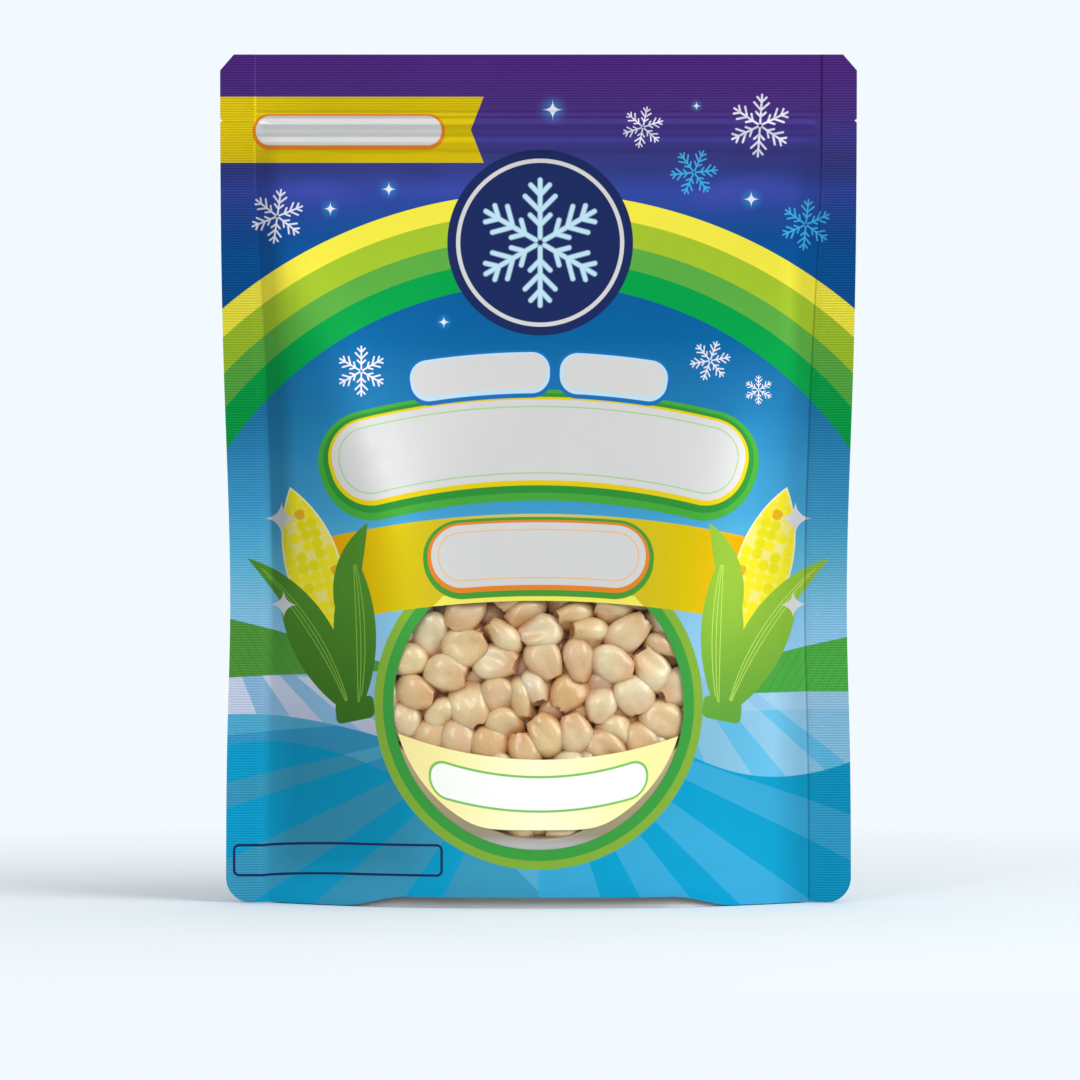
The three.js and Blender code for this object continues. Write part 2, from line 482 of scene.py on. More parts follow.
def block_lines(form):
    """The rows and columns of the body grid that bound the ring round the opening."""
    heights, body_rows, shares = grid_lines(form)
    up = heights[body_rows]
    across = shares * form.half_body(OPENING_HEIGHT)
    rows = (int(np.searchsorted(up, BLOCK["low"])), int(np.searchsorted(up, BLOCK["high"])))
    left = int(np.searchsorted(across, -BLOCK["half"]))
    return rows, (left, len(shares) - 1 - left)


def loop_round(grid, rows, columns):
    """What lies round a block of a grid, from its lower left corner to the right and up."""
    (low, high), (left, right) = rows, columns
    return np.concatenate(
        [
            grid[low, left:right],
            grid[low:high, right],
            grid[high, right:left:-1],
            grid[high:low:-1, left],
        ]
    )


def opening_reach(angle):
    """How far the opening reaches from its centre in a direction: a circle that the banner cuts."""
    centre = BANNER_FOOT - BANNER_RADIUS - OPENING_HEIGHT
    along = centre * np.sin(angle)
    banner = along + np.sqrt(along**2 + BANNER_RADIUS**2 - centre**2)
    return np.minimum(OPENING_RADIUS, banner)


def ring_lines(form):
    """Places across and up, ring by ring, from the block's outline to the opening's."""
    heights, body_rows, shares = grid_lines(form)
    up = heights[body_rows][:, None] + 0 * shares
    across = form.half_body(up) * shares
    rows, columns = block_lines(form)
    loop_x = loop_round(across, rows, columns)
    loop_z = loop_round(up, rows, columns)
    angle = np.arctan2(loop_z - OPENING_HEIGHT, loop_x)
    fine = np.linspace(0, math.pi, 20001)
    corner = fine[np.argmax(opening_reach(fine) < OPENING_RADIUS - 1e-6)]
    for turn in (corner, math.pi - corner):
        angle[np.argmin(np.abs(angle - turn))] = turn
    reach = opening_reach(angle)
    rim_x = reach * np.cos(angle)
    rim_z = OPENING_HEIGHT + reach * np.sin(angle)
    share = np.linspace(0, 1, RING_LAYERS + 1)[:, None]
    return loop_x + (rim_x - loop_x) * share, loop_z + (rim_z - loop_z) * share


def closed(rows):
    """A grid of numbers whose last column is its first again."""
    return np.concatenate([rows, rows[:, :1]], 1)


def film_sheet(form, side, with_opening):
    """One film of the pouch: side seals with fine rows, the body, and its cut edge."""
    sheet = Sheet()
    heights, body_rows, shares = grid_lines(form)
    z = heights[:, None]
    body = form.half_body(z)
    seal = form.half_width(z) - body
    left = sheet.add(form.skin(-(body + seal * SEAL_SHARES[::-1]), z, side))
    right = sheet.add(form.skin(body + seal * SEAL_SHARES, z, side))
    sheet.quads(left)
    sheet.quads(right)

    up = heights[body_rows][:, None]
    inner = sheet.add(form.skin(form.half_body(up) * shares[1:-1], up, side))
    ends = left[body_rows, -1:], right[body_rows, :1]
    grid = np.concatenate([ends[0], inner, ends[1]], 1)
    keep = np.ones((len(body_rows) - 1, len(shares) - 1), bool)
    keep[:, [0, -1]] = False
    if with_opening:
        rows, columns = block_lines(form)
        keep[rows[0] : rows[1], columns[0] : columns[1]] = False
        ring_x, ring_z = ring_lines(form)
        layers = sheet.add(form.skin(ring_x[1:], ring_z[1:], side))
        sheet.quads(closed(np.concatenate([loop_round(grid, rows, columns)[None], layers])))
    sheet.quads(grid, keep)
    for k, (low, high) in enumerate(zip(body_rows[:-1], body_rows[1:])):
        seam = left[low : high + 1, -1].tolist()
        sheet.faces.append([seam[0], grid[k, 1], grid[k + 1, 1], *seam[:0:-1]])
        seam = right[low : high + 1, 0].tolist()
        sheet.faces.append([grid[k, -2], *seam, grid[k + 1, -2]])

    edge = np.concatenate(
        [
            left[0, ::-1],
            left[1:, 0],
            left[-1, 1:],
            grid[-1, 1:-1],
            right[-1, :],
            right[-2::-1, -1],
            right[0, -2::-1],
        ]
    )
    middle = np.concatenate(sheet.points)[edge] * (1, 0, 1)
    sheet.quads(np.stack([edge, sheet.add(middle)]))
    return sheet


GUSSET = {
    "seam": 5.2,
    "peak": 22.0,
    "power": 2.6,
    "columns": 96,
    "stations": 28,
    "floor": 0.06,
    "edge": 0.5,
    "inset": 0.25,
    "flare": 14,
    "ridge": 0.9,
    "ridge_half": 1.4,
}
# Under each skirt the slack gusset folds back and comes down to the floor again: how far behind
# the skirt, and the share of the way up from the floor to the seam
FOOT_FOLD = (
    (2.6, 0.98),
    (4.2, 0.86),
    (4.6, 0.7),
    (3.9, 0.5),
    (2.7, 0.27),
    (1.6, 0.09),
    (0.9, 0.0),
    (1.8, 0.0),
)


def gusset_sheet(form):
    """The bottom gusset: sealed to both skirts up to a curved seam and hanging slack between."""
    sheet = Sheet()
    half = float(form.half_body(np.array(0.0)))
    across = np.linspace(-1, 1, GUSSET["columns"] + 1)[:, None]
    x = across * half
    seam = GUSSET["seam"] + GUSSET["peak"] * np.abs(across) ** GUSSET["power"]
    floor = GUSSET["floor"] + (seam - GUSSET["floor"]) * np.abs(across) ** GUSSET["flare"]
    climb = np.linspace(0, 1, 9)[None, :]
    edge = np.minimum(floor + form.lift(x) + GUSSET["edge"], seam - 0.2)
    height = edge + (seam - edge) * climb
    flat = form.before_lift(x + 0 * height, height)
    front = np.minimum(form.skin(x, flat, -1)[..., 1] + GUSSET["inset"], -0.03)
    back = np.maximum(form.skin(x, flat, 1)[..., 1] - GUSSET["inset"], 0.03)
    behind, share = (np.array(column)[None, :] for column in zip(*FOOT_FOLD))
    behind = GUSSET["inset"] + (behind - GUSSET["inset"]) * smooth(np.abs(across), 0.98, 0.75)
    fold_height = floor + (seam - floor) * share
    flat = form.before_lift(x + 0 * fold_height, fold_height)
    fold_front = np.minimum(form.skin(x, flat, -1)[..., 1] + behind, -0.02)
    fold_back = np.maximum(form.skin(x, flat, 1)[..., 1] - behind, 0.02)
    turn = np.linspace(-1, 1, GUSSET["stations"] + 1)[None, 1:-1]
    span = np.where(turn < 0, -turn * fold_front[:, -1:], turn * fold_back[:, -1:])
    ridge = GUSSET["ridge"] * np.exp(-((span / GUSSET["ridge_half"]) ** 2))
    bottom = floor + ridge * (1 - np.abs(across) ** 4)
    y = [front, fold_front, span, fold_back[:, ::-1], back[:, ::-1]]
    z = [height, fold_height, bottom, fold_height[:, ::-1], height[:, ::-1]]
    y = np.concatenate(y, 1)
    z = np.concatenate(z, 1)
    sheet.quads(sheet.add(np.stack([x + 0 * y, y, z], -1)))
    return sheet


def window_sheet(form):
    """The clear film: rings from the opening's outline to its centre."""
    sheet = Sheet()
    ring_x, ring_z = ring_lines(form)
    share = np.linspace(1, 0, RING_LAYERS + 1)[:-1, None]
    x = ring_x[-1] * share
    z = OPENING_HEIGHT + (ring_z[-1] - OPENING_HEIGHT) * share
    rings = closed(sheet.add(form.skin(x, z, -1)))
    centre = sheet.add(form.skin(np.zeros(1), np.full(1, OPENING_HEIGHT), -1))
    sheet.quads(rings)
    sheet.faces.extend([a, b, centre[0]] for a, b in zip(rings[-1, :-1], rings[-1, 1:]))
    return sheet


# ---------------------------------------------------------------------------------------------
# Corn
# ---------------------------------------------------------------------------------------------

HEAP = {"half": 42.0, "low": 9.0, "deep": 14.0, "gap": 0.35}
START = {"columns": 9, "layers": 2, "deep": 6.0, "up": 10.4, "lift": 5.0, "behind": 4.0, "loose": 1.2}
GRAVITY = (0, -0.012, -0.16)  # millimetres a step: down, and against the film
CALM_STEPS = 40  # the last ones, in which the kernels only push each other apart
PAIRS = {"every": 6, "reach": 2.0}  # how often touching balls are looked for, and how far round
BOWL = {"centre": 51.0, "radius": 34.8, "deep": 0.25, "slope": 4.0}  # the gusset's fold, under the corn
FOLD = {
    "flank": 0.8,
    "flank_from_to": (11.0, 24.0),
    "away": 6.0,
    "away_from_to": (62.0, 80.0),
    "outer": 4.5,
    "lip": 0.5,
    "reach": 94,
    "stations": 150,
}
# Broken kernels caught in the fold: across, up, turn in degrees, and size
LOW_KERNELS = ((-3.6, 19.7, 96, 0.8), (5.3, 19.6, 80, 0.76), (13.0, 21.2, 60, 0.7))
CROWN_FORWARD = 0.8  # the share of kernels that turn their crown to the film rather than away
# The kernels' painted shade: how near the balls round a point reach, how many leave it open or shut it
# in, how far behind the film the shade starts, and the extra shade far behind
TUCKED_SHADE = {"reach": 0.8, "open": 0.6, "shut": 3.0, "behind": (0.3, 3), "far": (3.0, 11.0), "far_share": 0.8}
KERNEL_CELLS = 10  # along each side of the six patches that make a kernel's skin
SHOWN_PAST_RIM = 5.0  # kernels whose middle lies further outside the opening are left out
FILM_GAP = 0.3
NEIGHBOURS = 18.0  # how far away kernels still shade each other
PRESSED_EDGE = 0.12  # how round the edge is where a neighbour on the cob pressed on a kernel
BALLS = 1.06 * np.array([[-1.9, 0, 2.3], [1.9, 0, 2.3], [-1.3, 0, -1.0], [1.3, 0, -1.0], [0, 0, -3.4]])
BALL_RADII = 1.06 * np.array([3.3, 3.3, 3.2, 3.2, 2.75])


def cube_sphere(cells):
    """Directions spread evenly over a sphere, and the four-sided faces between them."""
    even = np.tan(np.linspace(-1, 1, cells + 1) * math.pi / 4)
    u, v = np.meshgrid(even, even, indexing="ij")
    points = []
    faces = []
    numbers = np.arange((cells + 1) ** 2).reshape(cells + 1, cells + 1)
    for axis in range(3):
        for hand in (-1, 1):
            patch = np.stack([np.full_like(u, hand), hand * u, v], -1)
            patch = np.roll(patch, axis, -1).reshape(-1, 3)
            grid = numbers + len(points) * numbers.size
            corners = [grid[:-1, :-1], grid[1:, :-1], grid[1:, 1:], grid[:-1, 1:]]
            faces.append(np.stack(corners, -1).reshape(-1, 4))
            points.append(patch / np.linalg.norm(patch, axis=1, keepdims=True))
    points = np.round(np.concatenate(points), 5)
    directions, place = np.unique(points, axis=0, return_inverse=True)
    return directions, place.reshape(-1)[np.concatenate(faces)]


def random_turns(rng, count):
    """Evenly spread random rotations as matrices."""
    q = rng.normal(size=(count, 4))
    w, x, y, z = (q / np.linalg.norm(q, axis=1, keepdims=True)).T
    rows = [
        [1 - 2 * (y * y + z * z), 2 * (x * y - z * w), 2 * (x * z + y * w)],
        [2 * (x * y + z * w), 1 - 2 * (x * x + z * z), 2 * (y * z - x * w)],
        [2 * (x * z - y * w), 2 * (y * z + x * w), 1 - 2 * (x * x + y * y)],
    ]
    return np.moveaxis(np.array(rows), 2, 0)


def touching(places, radii, owner, reach):
    """Pairs of balls of different kernels that are within reach of each other."""
    apart = np.linalg.norm(places[:, None] - places[None], axis=2)
    near = apart < radii[:, None] + radii[None] + reach
    first, second = np.nonzero(np.triu(near & (owner[:, None] != owner[None]), 1))
    return first, second


def keep_in_heap(places, radii, form):
    """Pushes balls back behind the front film, off the back and sides, and into the bowl."""
    x, y, z = places.T
    skin = -form.depth(x, z)
    y[:] = np.clip(y, skin + radii + HEAP["gap"], skin + HEAP["deep"] - radii)
    x[:] = np.clip(x, -HEAP["half"] + radii, HEAP["half"] - radii)
    out = np.hypot(x, z - BOWL["centre"])
    turn = np.degrees(np.arctan2(np.abs(x), BOWL["centre"] - z))
    room = fold_rim(turn) - (y - skin - BOWL["deep"]) / BOWL["slope"] - radii
    over = (z < BOWL["centre"]) & (out > room)
    share = np.where(over, room / np.maximum(out, 1e-6), 1)
    x[:] = x * share
    z[:] = BOWL["centre"] + (z - BOWL["centre"]) * share


def settled(form, heap):
    """Centres and turns of kernels that have come to rest against the film and each other.

    Each kernel is five balls that keep their places in it. Gravity pulls them down and the slant of
    the heap pushes them against the front film.
    """
    rng = np.random.default_rng(heap.seed)
    columns, layers = START["columns"], START["layers"]
    number = np.arange(heap.count)
    pitch = 2 * HEAP["half"] / columns
    centres = np.stack(
        [
            (number % columns - (columns - 1) / 2) * pitch,
            (number // columns % layers) * START["deep"],
            HEAP["low"] + START["lift"] + (number // (columns * layers)) * START["up"],
        ],
        1,
    )
    centres += rng.uniform(-START["loose"], START["loose"], centres.shape)
    centres[:, 1] += START["behind"] - form.depth(centres[:, 0], centres[:, 2])
    turns = random_turns(rng, heap.count)
    away = (turns[:, 1, 2] > 0) & (rng.uniform(size=heap.count) < CROWN_FORWARD)
    turns[away] *= (1, -1, -1)
    balls = centres[:, None] + np.einsum("kij,bj->kbi", turns, BALLS)
    radii = np.tile(BALL_RADII, heap.count)
    owner = np.repeat(number, len(BALLS))
    rest = BALLS - BALLS.mean(0)
    for step in range(heap.steps):
        if step < heap.steps - CALM_STEPS:
            balls += GRAVITY
        places = balls.reshape(-1, 3)
        if step % PAIRS["every"] == 0:
            first, second = touching(places, radii, owner, PAIRS["reach"])
        apart = places[first] - places[second]
        gap = np.linalg.norm(apart, axis=1)
        overlap = np.maximum(0, radii[first] + radii[second] - gap)
        push = apart * (0.5 * overlap / np.maximum(gap, 1e-6))[:, None]
        moved = np.zeros_like(places)
        hits = np.ones(len(places))
        np.add.at(moved, first, push)
        np.add.at(moved, second, -push)
        np.add.at(hits, first, overlap > 0)
        np.add.at(hits, second, overlap > 0)
        places += moved / np.sqrt(hits)[:, None]
        keep_in_heap(places, radii, form)
        centre = balls.mean(1)
        spread = np.einsum("kbi,bj->kij", balls - centre[:, None], rest)
        left, _, right = np.linalg.svd(spread)
        flip = np.ones((heap.count, 3))
        flip[:, 2] = np.linalg.det(left @ right)
        turns = (left * flip[:, None]) @ right
        balls = centre[:, None] + np.einsum("kij,bj->kbi", turns, rest)
    return balls.mean(1) - np.einsum("kij,j->ki", turns, BALLS.mean(0)), turns


def low_kernels(form, heap):
    """Centres, turns and sizes of the kernels that lie flat in the fold under the cream band."""
    across, up, degrees, size = np.array(LOW_KERNELS).T
    cosine, sine = np.cos(np.radians(degrees)), np.sin(np.radians(degrees))
    turns = np.zeros((len(size), 3, 3))
    turns[:, 0, 0] = turns[:, 2, 2] = cosine
    turns[:, 0, 2] = sine
    turns[:, 2, 0] = -sine
    turns[:, 1, 1] = 1
    behind = 0.95 * heap.thickness * size - form.depth(across, up)
    return np.stack([across, behind, up], 1), turns, size


def rumple(points, rng, size, waves=5):
    """A smooth random height for each point: a sum of sines in random directions."""
    height = np.zeros(len(points))
    for _ in range(waves):
        way = rng.normal(size=3)
        way *= rng.uniform(0.7, 1.4) / size / np.linalg.norm(way)
        height += np.sin(points @ way + rng.uniform(0, 2 * math.pi))
    return height / waves


def kernel_skin(directions, heap, rng):
    """One kernel, crown up and broad faces along Y, and how much of each point is cut base."""
    across, flat, up = np.abs(directions.T)
    corner = rng.uniform(2.0, 2.7)
    crown = rng.uniform(2.0, 2.5)
    girth = (across**corner + flat**corner) ** (1 / corner)
    points = directions / ((girth**crown + up**crown) ** (1 / crown))[:, None]
    # Neighbours on the cob pressed two sides flat
    for _ in range(2):
        angle = rng.uniform(0, 2 * math.pi)
        way = np.array([math.cos(angle), 0.7 * math.sin(angle), rng.uniform(-0.3, 0.7)])
        way /= np.linalg.norm(way)
        over = points @ way - rng.uniform(0.68, 0.95)
        points -= (0.4 * (over + np.hypot(over, PRESSED_EDGE)))[:, None] * way
    # It narrows and thins towards its base, and leans
    x, y, z = points.T
    height = (z + 1) / 2
    narrow = rng.uniform(0.6, 0.86)
    x *= narrow + (1 - narrow) * smooth(height, -0.05, 0.7)
    y *= rng.uniform(0.7, 0.88) + 0.22 * smooth(height, -0.1, 0.7)
    x += rng.uniform(-0.16, 0.16) * z
    # Each broad face sank in as it dried, and one crease runs along it
    for hand, deepest in ((-1, 0.4), (1, 0.2)):
        deep = deepest * rng.uniform(0.1, 1) ** 0.7
        lean = rng.uniform(-0.4, 0.4)
        along = (z - rng.uniform(-0.45, 0.1)) / rng.uniform(0.5, 0.8)
        aside = (x - lean * z) / rng.uniform(0.3, 0.46)
        y -= hand * deep * np.exp(-(along**2) - aside**2) * smooth(hand * y, 0.0, 0.4)
    crease = np.exp(-(((x - rng.uniform(-0.4, 0.4) - 0.3 * z) / 0.12) ** 2))
    y *= 1 - rng.uniform(0, 0.09) * crease
    # The base is cut off, with a ragged rim round a shallow dish
    cut = smooth(z, -0.72, -0.88)
    rim = np.hypot(x / 0.5, y / 0.56)
    hollow = np.clip(1 - rim**2, 0, 1)
    ragged = 0.1 * rumple(points, rng, 0.16, 6) + 0.05 * rumple(points, rng, 0.06, 5)
    dish = rng.uniform(0.02, 0.26) * hollow + 0.12 * rumple(points, rng, 0.3) * hollow
    z[:] = np.where(z < -0.84, -0.84 + dish + ragged, z + cut * ragged)
    lip = cut * smooth(hollow, 0.5, 0.05)
    x *= 1 + 0.07 * lip
    y *= 1 + 0.1 * lip
    # The skin is a little uneven all over and wrinkled near the base
    wrinkles = rumple(points * (1, 1, 0.4), rng, 0.1, 6) * smooth(z, 0.3, -0.6)
    bumps = 0.03 * rumple(points, rng, 0.5) + 0.01 * rumple(points, rng, 0.18) + 0.012 * wrinkles
    points *= 1 + bumps[:, None]
    points *= np.array([heap.width, heap.thickness, heap.length]) * rng.uniform(0.86, 1.06, 3)
    return points, cut


def tucked_shade(points, balls, radii, form):
    """The painted shade of each point, from 0 in the open to 1: how far it is tucked in between the
    kernels round it, and how deep it lies behind the film.
    """
    gap = np.linalg.norm(points[:, None] - balls[None], axis=2) - radii
    close = np.exp(-np.clip(gap, 0, None) / TUCKED_SHADE["reach"]).sum(1)
    deep = points[:, 1] + form.depth(points[:, 0], points[:, 2])
    tucked = smooth(close, TUCKED_SHADE["open"], TUCKED_SHADE["shut"]) * smooth(deep, *TUCKED_SHADE["behind"])
    return np.clip(tucked + TUCKED_SHADE["far_share"] * smooth(deep, *TUCKED_SHADE["far"]), 0, 1)


def kernels_piece(form, heap, material):
    """The kernels that show through the window, as one joined mesh with their tones and their painted
    shade.
    """
    rng = np.random.default_rng(heap.seed + 1)
    directions, faces = cube_sphere(KERNEL_CELLS)
    centres, turns = settled(form, heap)
    low_centres, low_turns, low_sizes = low_kernels(form, heap)
    sizes = np.concatenate([np.ones(len(centres)), low_sizes])
    centres = np.concatenate([centres, low_centres])
    turns = np.concatenate([turns, low_turns])
    balls = centres[:, None] + np.einsum("kij,bj->kbi", turns, BALLS)
    out = np.hypot(centres[:, 0], centres[:, 2] - OPENING_HEIGHT)
    sheet = Sheet()
    shades = []
    bases = []
    hues = []
    tucked_shades = []
    for centre, turn, size, distance in zip(centres, turns, sizes, out):
        skin, cut = kernel_skin(directions, heap, rng)
        skin *= size
        shade, hue = rng.uniform(size=2)
        if distance > OPENING_RADIUS + SHOWN_PAST_RIM:
            continue
        points = centre + skin @ turn.T
        clear = points[:, 1] - form.skin(points[:, 0], points[:, 2], -1)[:, 1]
        points[:, 1] += max(0, FILM_GAP - clear.min())
        numbers = sheet.add(points)
        sheet.faces.extend((faces + numbers[0]).tolist())
        near = np.linalg.norm(centres - centre, axis=1) < NEIGHBOURS
        near &= np.any(centres != centre, axis=1)
        tucked_shades.append(tucked_shade(points, balls[near].reshape(-1, 3), np.tile(BALL_RADII, near.sum()), form))
        along = skin[:, 2] / heap.length / size
        bases.append(np.maximum(cut, 0.75 * smooth(along, 0.35, -0.9)))
        shades.append(np.full(len(skin), shade))
        hues.append(np.full(len(skin), hue))
    piece = sheet.piece("kernels", material)
    for name, values in (("base", bases), ("shade", shades), ("hue", hues), ("tucked_shade", tucked_shades)):
        layer = piece.data.attributes.new(name, "FLOAT", "POINT")
        layer.data.foreach_set("value", np.concatenate(values).astype(np.float32))
    return piece


CORE = {
    "deep": 9.0,
    "bump": 3.4,
    "pitch": 8.6,
    "row": 0.87,
    "thick": 3.0,
    "half": 41.0,
    "low": 15.0,
    "high": 84.0,
    "columns": 96,
    "rows": 84,
}


def core_sheet(form):
    """The corn behind the loose kernels: a slab whose front is close-packed bumps."""
    sheet = Sheet()
    rng = np.random.default_rng(3)
    x = np.linspace(-CORE["half"], CORE["half"], CORE["columns"])[None, :]
    z = np.linspace(CORE["low"], CORE["high"], CORE["rows"])[:, None]
    height = CORE["high"] - CORE["low"]
    nearest = np.full((CORE["rows"], CORE["columns"]), height)
    for j in range(int(height / CORE["pitch"] / CORE["row"]) + 3):
        for i in range(-6, 7):
            middle = np.array([i + j % 2 / 2, j * CORE["row"]]) + rng.uniform(-0.2, 0.2, 2)
            middle = middle * CORE["pitch"] + (0, CORE["low"] - CORE["pitch"])
            nearest = np.minimum(nearest, np.hypot(x - middle[0], z - middle[1]))
    hollow = np.clip(nearest / (0.62 * CORE["pitch"]), 0, 1)
    front = CORE["deep"] + CORE["bump"] * (1 - np.sqrt(1 - hollow**2 * 0.99))
    skin = -form.depth(x, z)
    rim = np.maximum(np.abs(x) / CORE["half"], np.abs(2 * (z - CORE["low"]) / height - 1))
    back = skin + front + CORE["thick"] * smooth(rim, 1, 0.95)
    near = sheet.add(np.stack([x + 0 * z, skin + front, z + 0 * x], -1))
    far = sheet.add(np.stack([x + 0 * z, back, z + 0 * x], -1))
    sheet.quads(near)
    sheet.quads(far[::-1])
    return sheet


def fold_rim(turn):
    """Where the gusset's fold comes up to the film, out from the bowl's centre.

    The turn is in degrees from straight down. The fold comes further in under the flanks of the
    cream band than in the middle, where some corn shows under the band.
    """
    flank = FOLD["flank"] * smooth(turn, *FOLD["flank_from_to"])
    return BOWL["radius"] - flank + FOLD["away"] * smooth(turn, *FOLD["away_from_to"])


def lining_sheet(form):
    """The gusset's fold inside the pouch: a strip behind the window's rim and a bowl behind it."""
    sheet = Sheet()
    turn = np.linspace(-FOLD["reach"], FOLD["reach"], FOLD["stations"])[:, None]
    rim = fold_rim(np.abs(turn))
    strip = np.linspace(FOLD["outer"], 0, 9)[None, :-1]
    lip = np.radians(np.linspace(0, 90, 6))[None, :]
    wall = np.linspace(BOWL["deep"] + FOLD["lip"], HEAP["deep"], 12)[None, 1:]
    inward = FOLD["lip"] * np.sin(lip)
    reach = [rim + strip, rim - inward, rim - FOLD["lip"] - (wall - BOWL["deep"]) / BOWL["slope"]]
    deep = [BOWL["deep"] - 0.05 + 0 * strip, BOWL["deep"] + FOLD["lip"] * (1 - np.cos(lip)), wall]
    reach = np.concatenate([part + 0 * turn for part in reach], 1)
    deep = np.concatenate([part + 0 * turn for part in deep], 1)
    x = reach * np.sin(np.radians(turn))
    z = BOWL["centre"] - reach * np.cos(np.radians(turn))
    y = form.skin(x, form.before_lift(x, z), -1)[..., 1] + deep
    sheet.quads(sheet.add(np.stack([x, y, z], -1)))
    return sheet


# ---------------------------------------------------------------------------------------------
# Nodes
# ---------------------------------------------------------------------------------------------

EDGE = 0.13  # millimetres over which one print colour turns into the next


class Field:
    """A number that varies over a surface: a node's output, with arithmetic that adds nodes."""

    def __init__(self, tree, socket):
        self.tree = tree
        self.socket = socket

    def math(self, operation, *others, clamp=False):
        """One of Blender's math operations on this and the others."""
        node = self.tree.nodes.new("ShaderNodeMath")
        node.operation = operation
        node.use_clamp = clamp
        for place, value in zip(node.inputs, (self, *others)):
            feed(self.tree, place, value)
        return Field(self.tree, node.outputs[0])

    def __add__(self, other):
        return self.math("ADD", other)

    def __sub__(self, other):
        return self.math("SUBTRACT", other)

    def __mul__(self, other):
        return self.math("MULTIPLY", other)

    def __truediv__(self, other):
        return self.math("DIVIDE", other)

    def __neg__(self):
        return self.math("MULTIPLY", -1)

    def __rsub__(self, other):
        return self.line(-1, other)

    def __abs__(self):
        return self.math("ABSOLUTE")

    __radd__ = __add__
    __rmul__ = __mul__

    def line(self, slope, shift, clamp=False):
        """slope times this, plus shift, in one node."""
        return self.math("MULTIPLY_ADD", slope, shift, clamp=clamp)

    def least(self, other):
        return self.math("MINIMUM", other)

    def most(self, other):
        return self.math("MAXIMUM", other)


def feed(tree, place, value):
    """Links a field or an output to an input, or sets a plain value on it."""
    if isinstance(value, Field):
        tree.links.new(value.socket, place)
    elif isinstance(value, bpy.types.NodeSocket):
        tree.links.new(value, place)
    elif place.type == "RGBA" and len(value) == 3:
        place.default_value = (*value, 1)
    else:
        place.default_value = value


def add_node(tree, kind, settings=None, **inputs):
    """A node with its settings and the inputs named, where an underscore stands for a space."""
    node = tree.nodes.new(kind)
    for name, value in (settings or {}).items():
        setattr(node, name, value)
    for name, value in inputs.items():
        feed(tree, node.inputs[name.replace("_", " ")], value)
    return node


def mixed(tree, share, below, above):
    """One colour over another."""
    node = tree.nodes.new("ShaderNodeMix")
    node.data_type = "RGBA"
    feed(tree, node.inputs[0], share)
    feed(tree, node.inputs[6], below)
    feed(tree, node.inputs[7], above)
    return node.outputs[2]


def ramped(field, low, high, stops, steps=False):
    """A colour for each value from low to high: stops are (value, colour), in order."""
    node = field.tree.nodes.new("ShaderNodeValToRGB")
    ramp = node.color_ramp
    ramp.interpolation = "CONSTANT" if steps else "LINEAR"
    while len(ramp.elements) > 1:
        ramp.elements.remove(ramp.elements[-1])
    for number, (value, colour) in enumerate(stops):
        place = (value - low) / (high - low)
        element = ramp.elements[0] if number == 0 else ramp.elements.new(place)
        element.position = place
        element.color = (*colour, 1)
    feed(field.tree, node.inputs[0], field.line(1 / (high - low), -low / (high - low)))
    return node.outputs[0]


